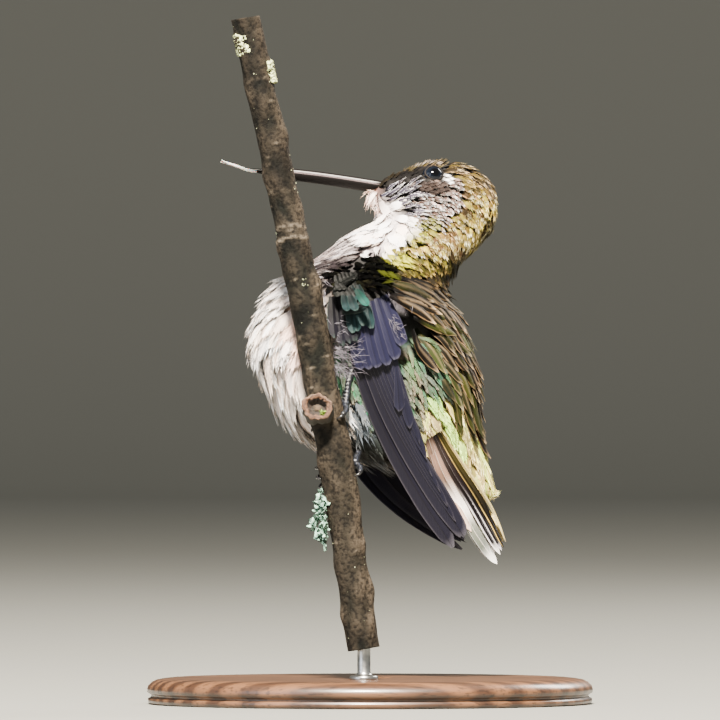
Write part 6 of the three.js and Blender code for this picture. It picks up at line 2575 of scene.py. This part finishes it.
@dataclass
class Stand:
    """Turned hardwood base with one steel rod up into the twig."""

    x: float = -0.8
    y: float = -12.5
    radius: float = 29.0
    thickness: float = 3.4
    rod: float = 0.85
    rod_top: float = 11.4

    def build(self) -> None:
        """Build the base and the rod."""
        r, top, well = self.radius, self.thickness, self.thickness - 0.12
        section = ((0.0, 0.02), (r - 0.6, 0.0), (r - 0.25, 0.12), (r - 0.1, 0.4), (r - 0.14, 0.75),
                   (r - 0.5, 0.95),
                   (r - 0.58, 1.1), (r - 0.4, 1.3), (r - 0.05, 1.55), (r, 1.95), (r - 0.15, 2.4),
                   (r - 0.6, 2.85),
                   (r - 1.2, 3.15), (r - 2.0, top - 0.1), (r - 2.8, top - 0.02), (r - 4.0, top), (12.0, top),
                   (3.2, top), (3.0, top - 0.03), (2.85, well), (2.6, well), (0.0, well))
        mesh_piece("base_turned", *self.turned(section, 160, (0.0, 0.0)), self.wood(), "base_wood",
                   ("stand_base",))
        r, top = self.rod, self.rod_top
        rod = ((0.0, 3.3), (1.75, 3.3), (1.85, 3.38), (1.85, 3.78), (1.7, 3.95), (1.15, 4.02), (1.0, 4.15),
               (r, 4.4),
               (r, 7.0), (r, 10.9), (r - 0.12, top - 0.1), (0.0, top - 0.02))
        steel = PlainFinish("brushed_steel", "8d8d8c", "b9b9b7", 0.3, 1.2, 0.01, metallic=1.0).material()
        mesh_piece("rod_turned", *self.turned(rod, 48, (self.x, self.y)), steel, "steel", ("stand_rod",))

    @staticmethod
    def turned(section: Line, sides: int, middle: tuple[float, float]) -> Mesh:
        """Return a turned form from its section, closed at top and bottom."""
        around = np.stack([np.cos(turns(sides)), np.sin(turns(sides))], 1)
        return loft(np.array([np.column_stack([middle + max(r, 1e-3) * around, np.full(sides, z)]) for r,
                              z in section]))

    @staticmethod
    def wood() -> Material:
        """Build dark oiled hardwood: long grain with open pores, and a thin satin finish.

        Returns:
            The finish, ready to use.
        """
        material, tree, shader = new_material("oiled_walnut")
        long = add(tree, "ShaderNodeMapping",
                   {"Vector": place_of(tree), "Scale": (0.12, 1.0, 1.0)}).outputs[0]
        warp = noise(tree, 9, 4, long)
        wave = {"Vector": long, "Scale": 1 / (5.5 * MM) / 6.283 * 3.1, "Distortion": 5.0, "Detail": 3.0}
        rings = add(tree, "ShaderNodeTexWave", wave, bands_direction="Y").outputs["Color"]
        pores = noise(tree, 0.35, 2, long)
        colour = blend(tree, 0.55, ramp(tree, warp, {0.3: "2a1a11", 0.7: "5b3c27"}),
                       ramp(tree, rings, {0.2: "24160e", 0.8: "6a4930"}))
        colour = mottle(tree, colour, pores, {0.36: 0.45, 0.46: 1.0})
        plug(tree, shader, {"Base Color": colour, "Roughness": 0.38, "IOR": 1.5, "Coat Weight": 0.35,
                                  "Coat Roughness": 0.18, "Normal": bumped(tree, pores, 0.04, 0.6)})
        return material


# ------------------------------------------------------------------ studio


@dataclass
class Studio:
    """Pale floor and backdrop, soft lights and the camera."""

    aim: tuple[float, float, float] = (-0.0013, 0.0, 0.04472)
    distance: float = 1.8
    lens: float = 692.0

    def build(self) -> None:
        """Build floor, lights and camera."""
        self.floor()
        self.light("key", (-0.05, -0.6, 0.85), 0.13, 120.0, "fff3e2")
        self.light("fill", (-0.75, -0.6, 0.35), 0.7, 6.0, "eef3ff")
        self.light("rim", (0.5, 0.6, 0.5), 0.3, 9.0, "fff8ee")
        world = bpy.data.worlds.new("studio_air")
        world.use_nodes = True
        air = world.node_tree
        plug(air, air.nodes["Background"], {"Color": (*linear("e9ece8"), 1), "Strength": 0.5})
        bpy.context.scene.world = world
        lens = bpy.data.cameras.new("camera")
        lens.lens, lens.sensor_width = self.lens, 36
        lens.clip_start, lens.clip_end = 0.05, 20
        camera = in_scene("camera", lens)
        camera.location = (self.aim[0], -self.distance, self.aim[2])
        camera.rotation_euler = (math.pi / 2, 0, 0)
        bpy.context.scene.camera = camera

    def floor(self) -> None:
        """Build a plain sweep that rises behind the model."""
        bend = [(2.7 + 0.8 * math.sin(a), 0.8 - 0.8 * math.cos(a)) for a in np.linspace(0.1, math.pi / 2, 12)]
        profile = [(-3.0, 0.0), (2.7, 0.0), *bend, (3.5, 5.0)]
        mesh = bpy.data.meshes.new("floor")
        verts = [(x, y, z) for x in (-4.0, 4.0) for y, z in profile]
        n = len(profile)
        mesh.from_pydata(verts, [], [(i, i + n, i + n + 1, i + 1) for i in range(n - 1)])
        mesh.polygons.foreach_set("use_smooth", [True] * len(mesh.polygons))
        material, tree, shader = new_material("studio_paper")
        plug(tree, shader, {"Base Color": (*linear("6e6f6a"), 1), "Roughness": 0.9})
        mesh.materials.append(material)
        floor = in_scene("floor", mesh)

    def light(self, name: str, place: tuple[float, float, float], size: float, power: float,
              colour: str) -> None:
        """Hang one soft lamp that faces the model.

        Args:
            name: Its name.
            place: Its place in metres.
            size: Its side in metres.
            power: Watts.
            colour: Its colour.
        """
        lamp = bpy.data.lights.new(name, "AREA")
        lamp.size, lamp.energy, lamp.color = size, power, linear(colour)
        holder = in_scene(name, lamp)
        holder.location = place
        holder.rotation_euler = (Vector(self.aim) - Vector(place)).to_track_quat("-Z", "Y").to_euler()


def main() -> None:
    """Build every sub-assembly in order."""
    logging.basicConfig(level=logging.INFO, format="%(name)s: %(message)s", stream=sys.stdout)
    Studio().build()
    form = Form()
    eyes = Eyes()
    Coat(form, eyes).build()
    eyes.build()
    Bill().build()
    wing = Wing(form)
    wing.build()
    Down(wing).build()
    Tail(form).build()
    twig = Twig()
    twig.build()
    Legs(twig).build()
    Stand().build()


if __name__ == "__main__":
    main()
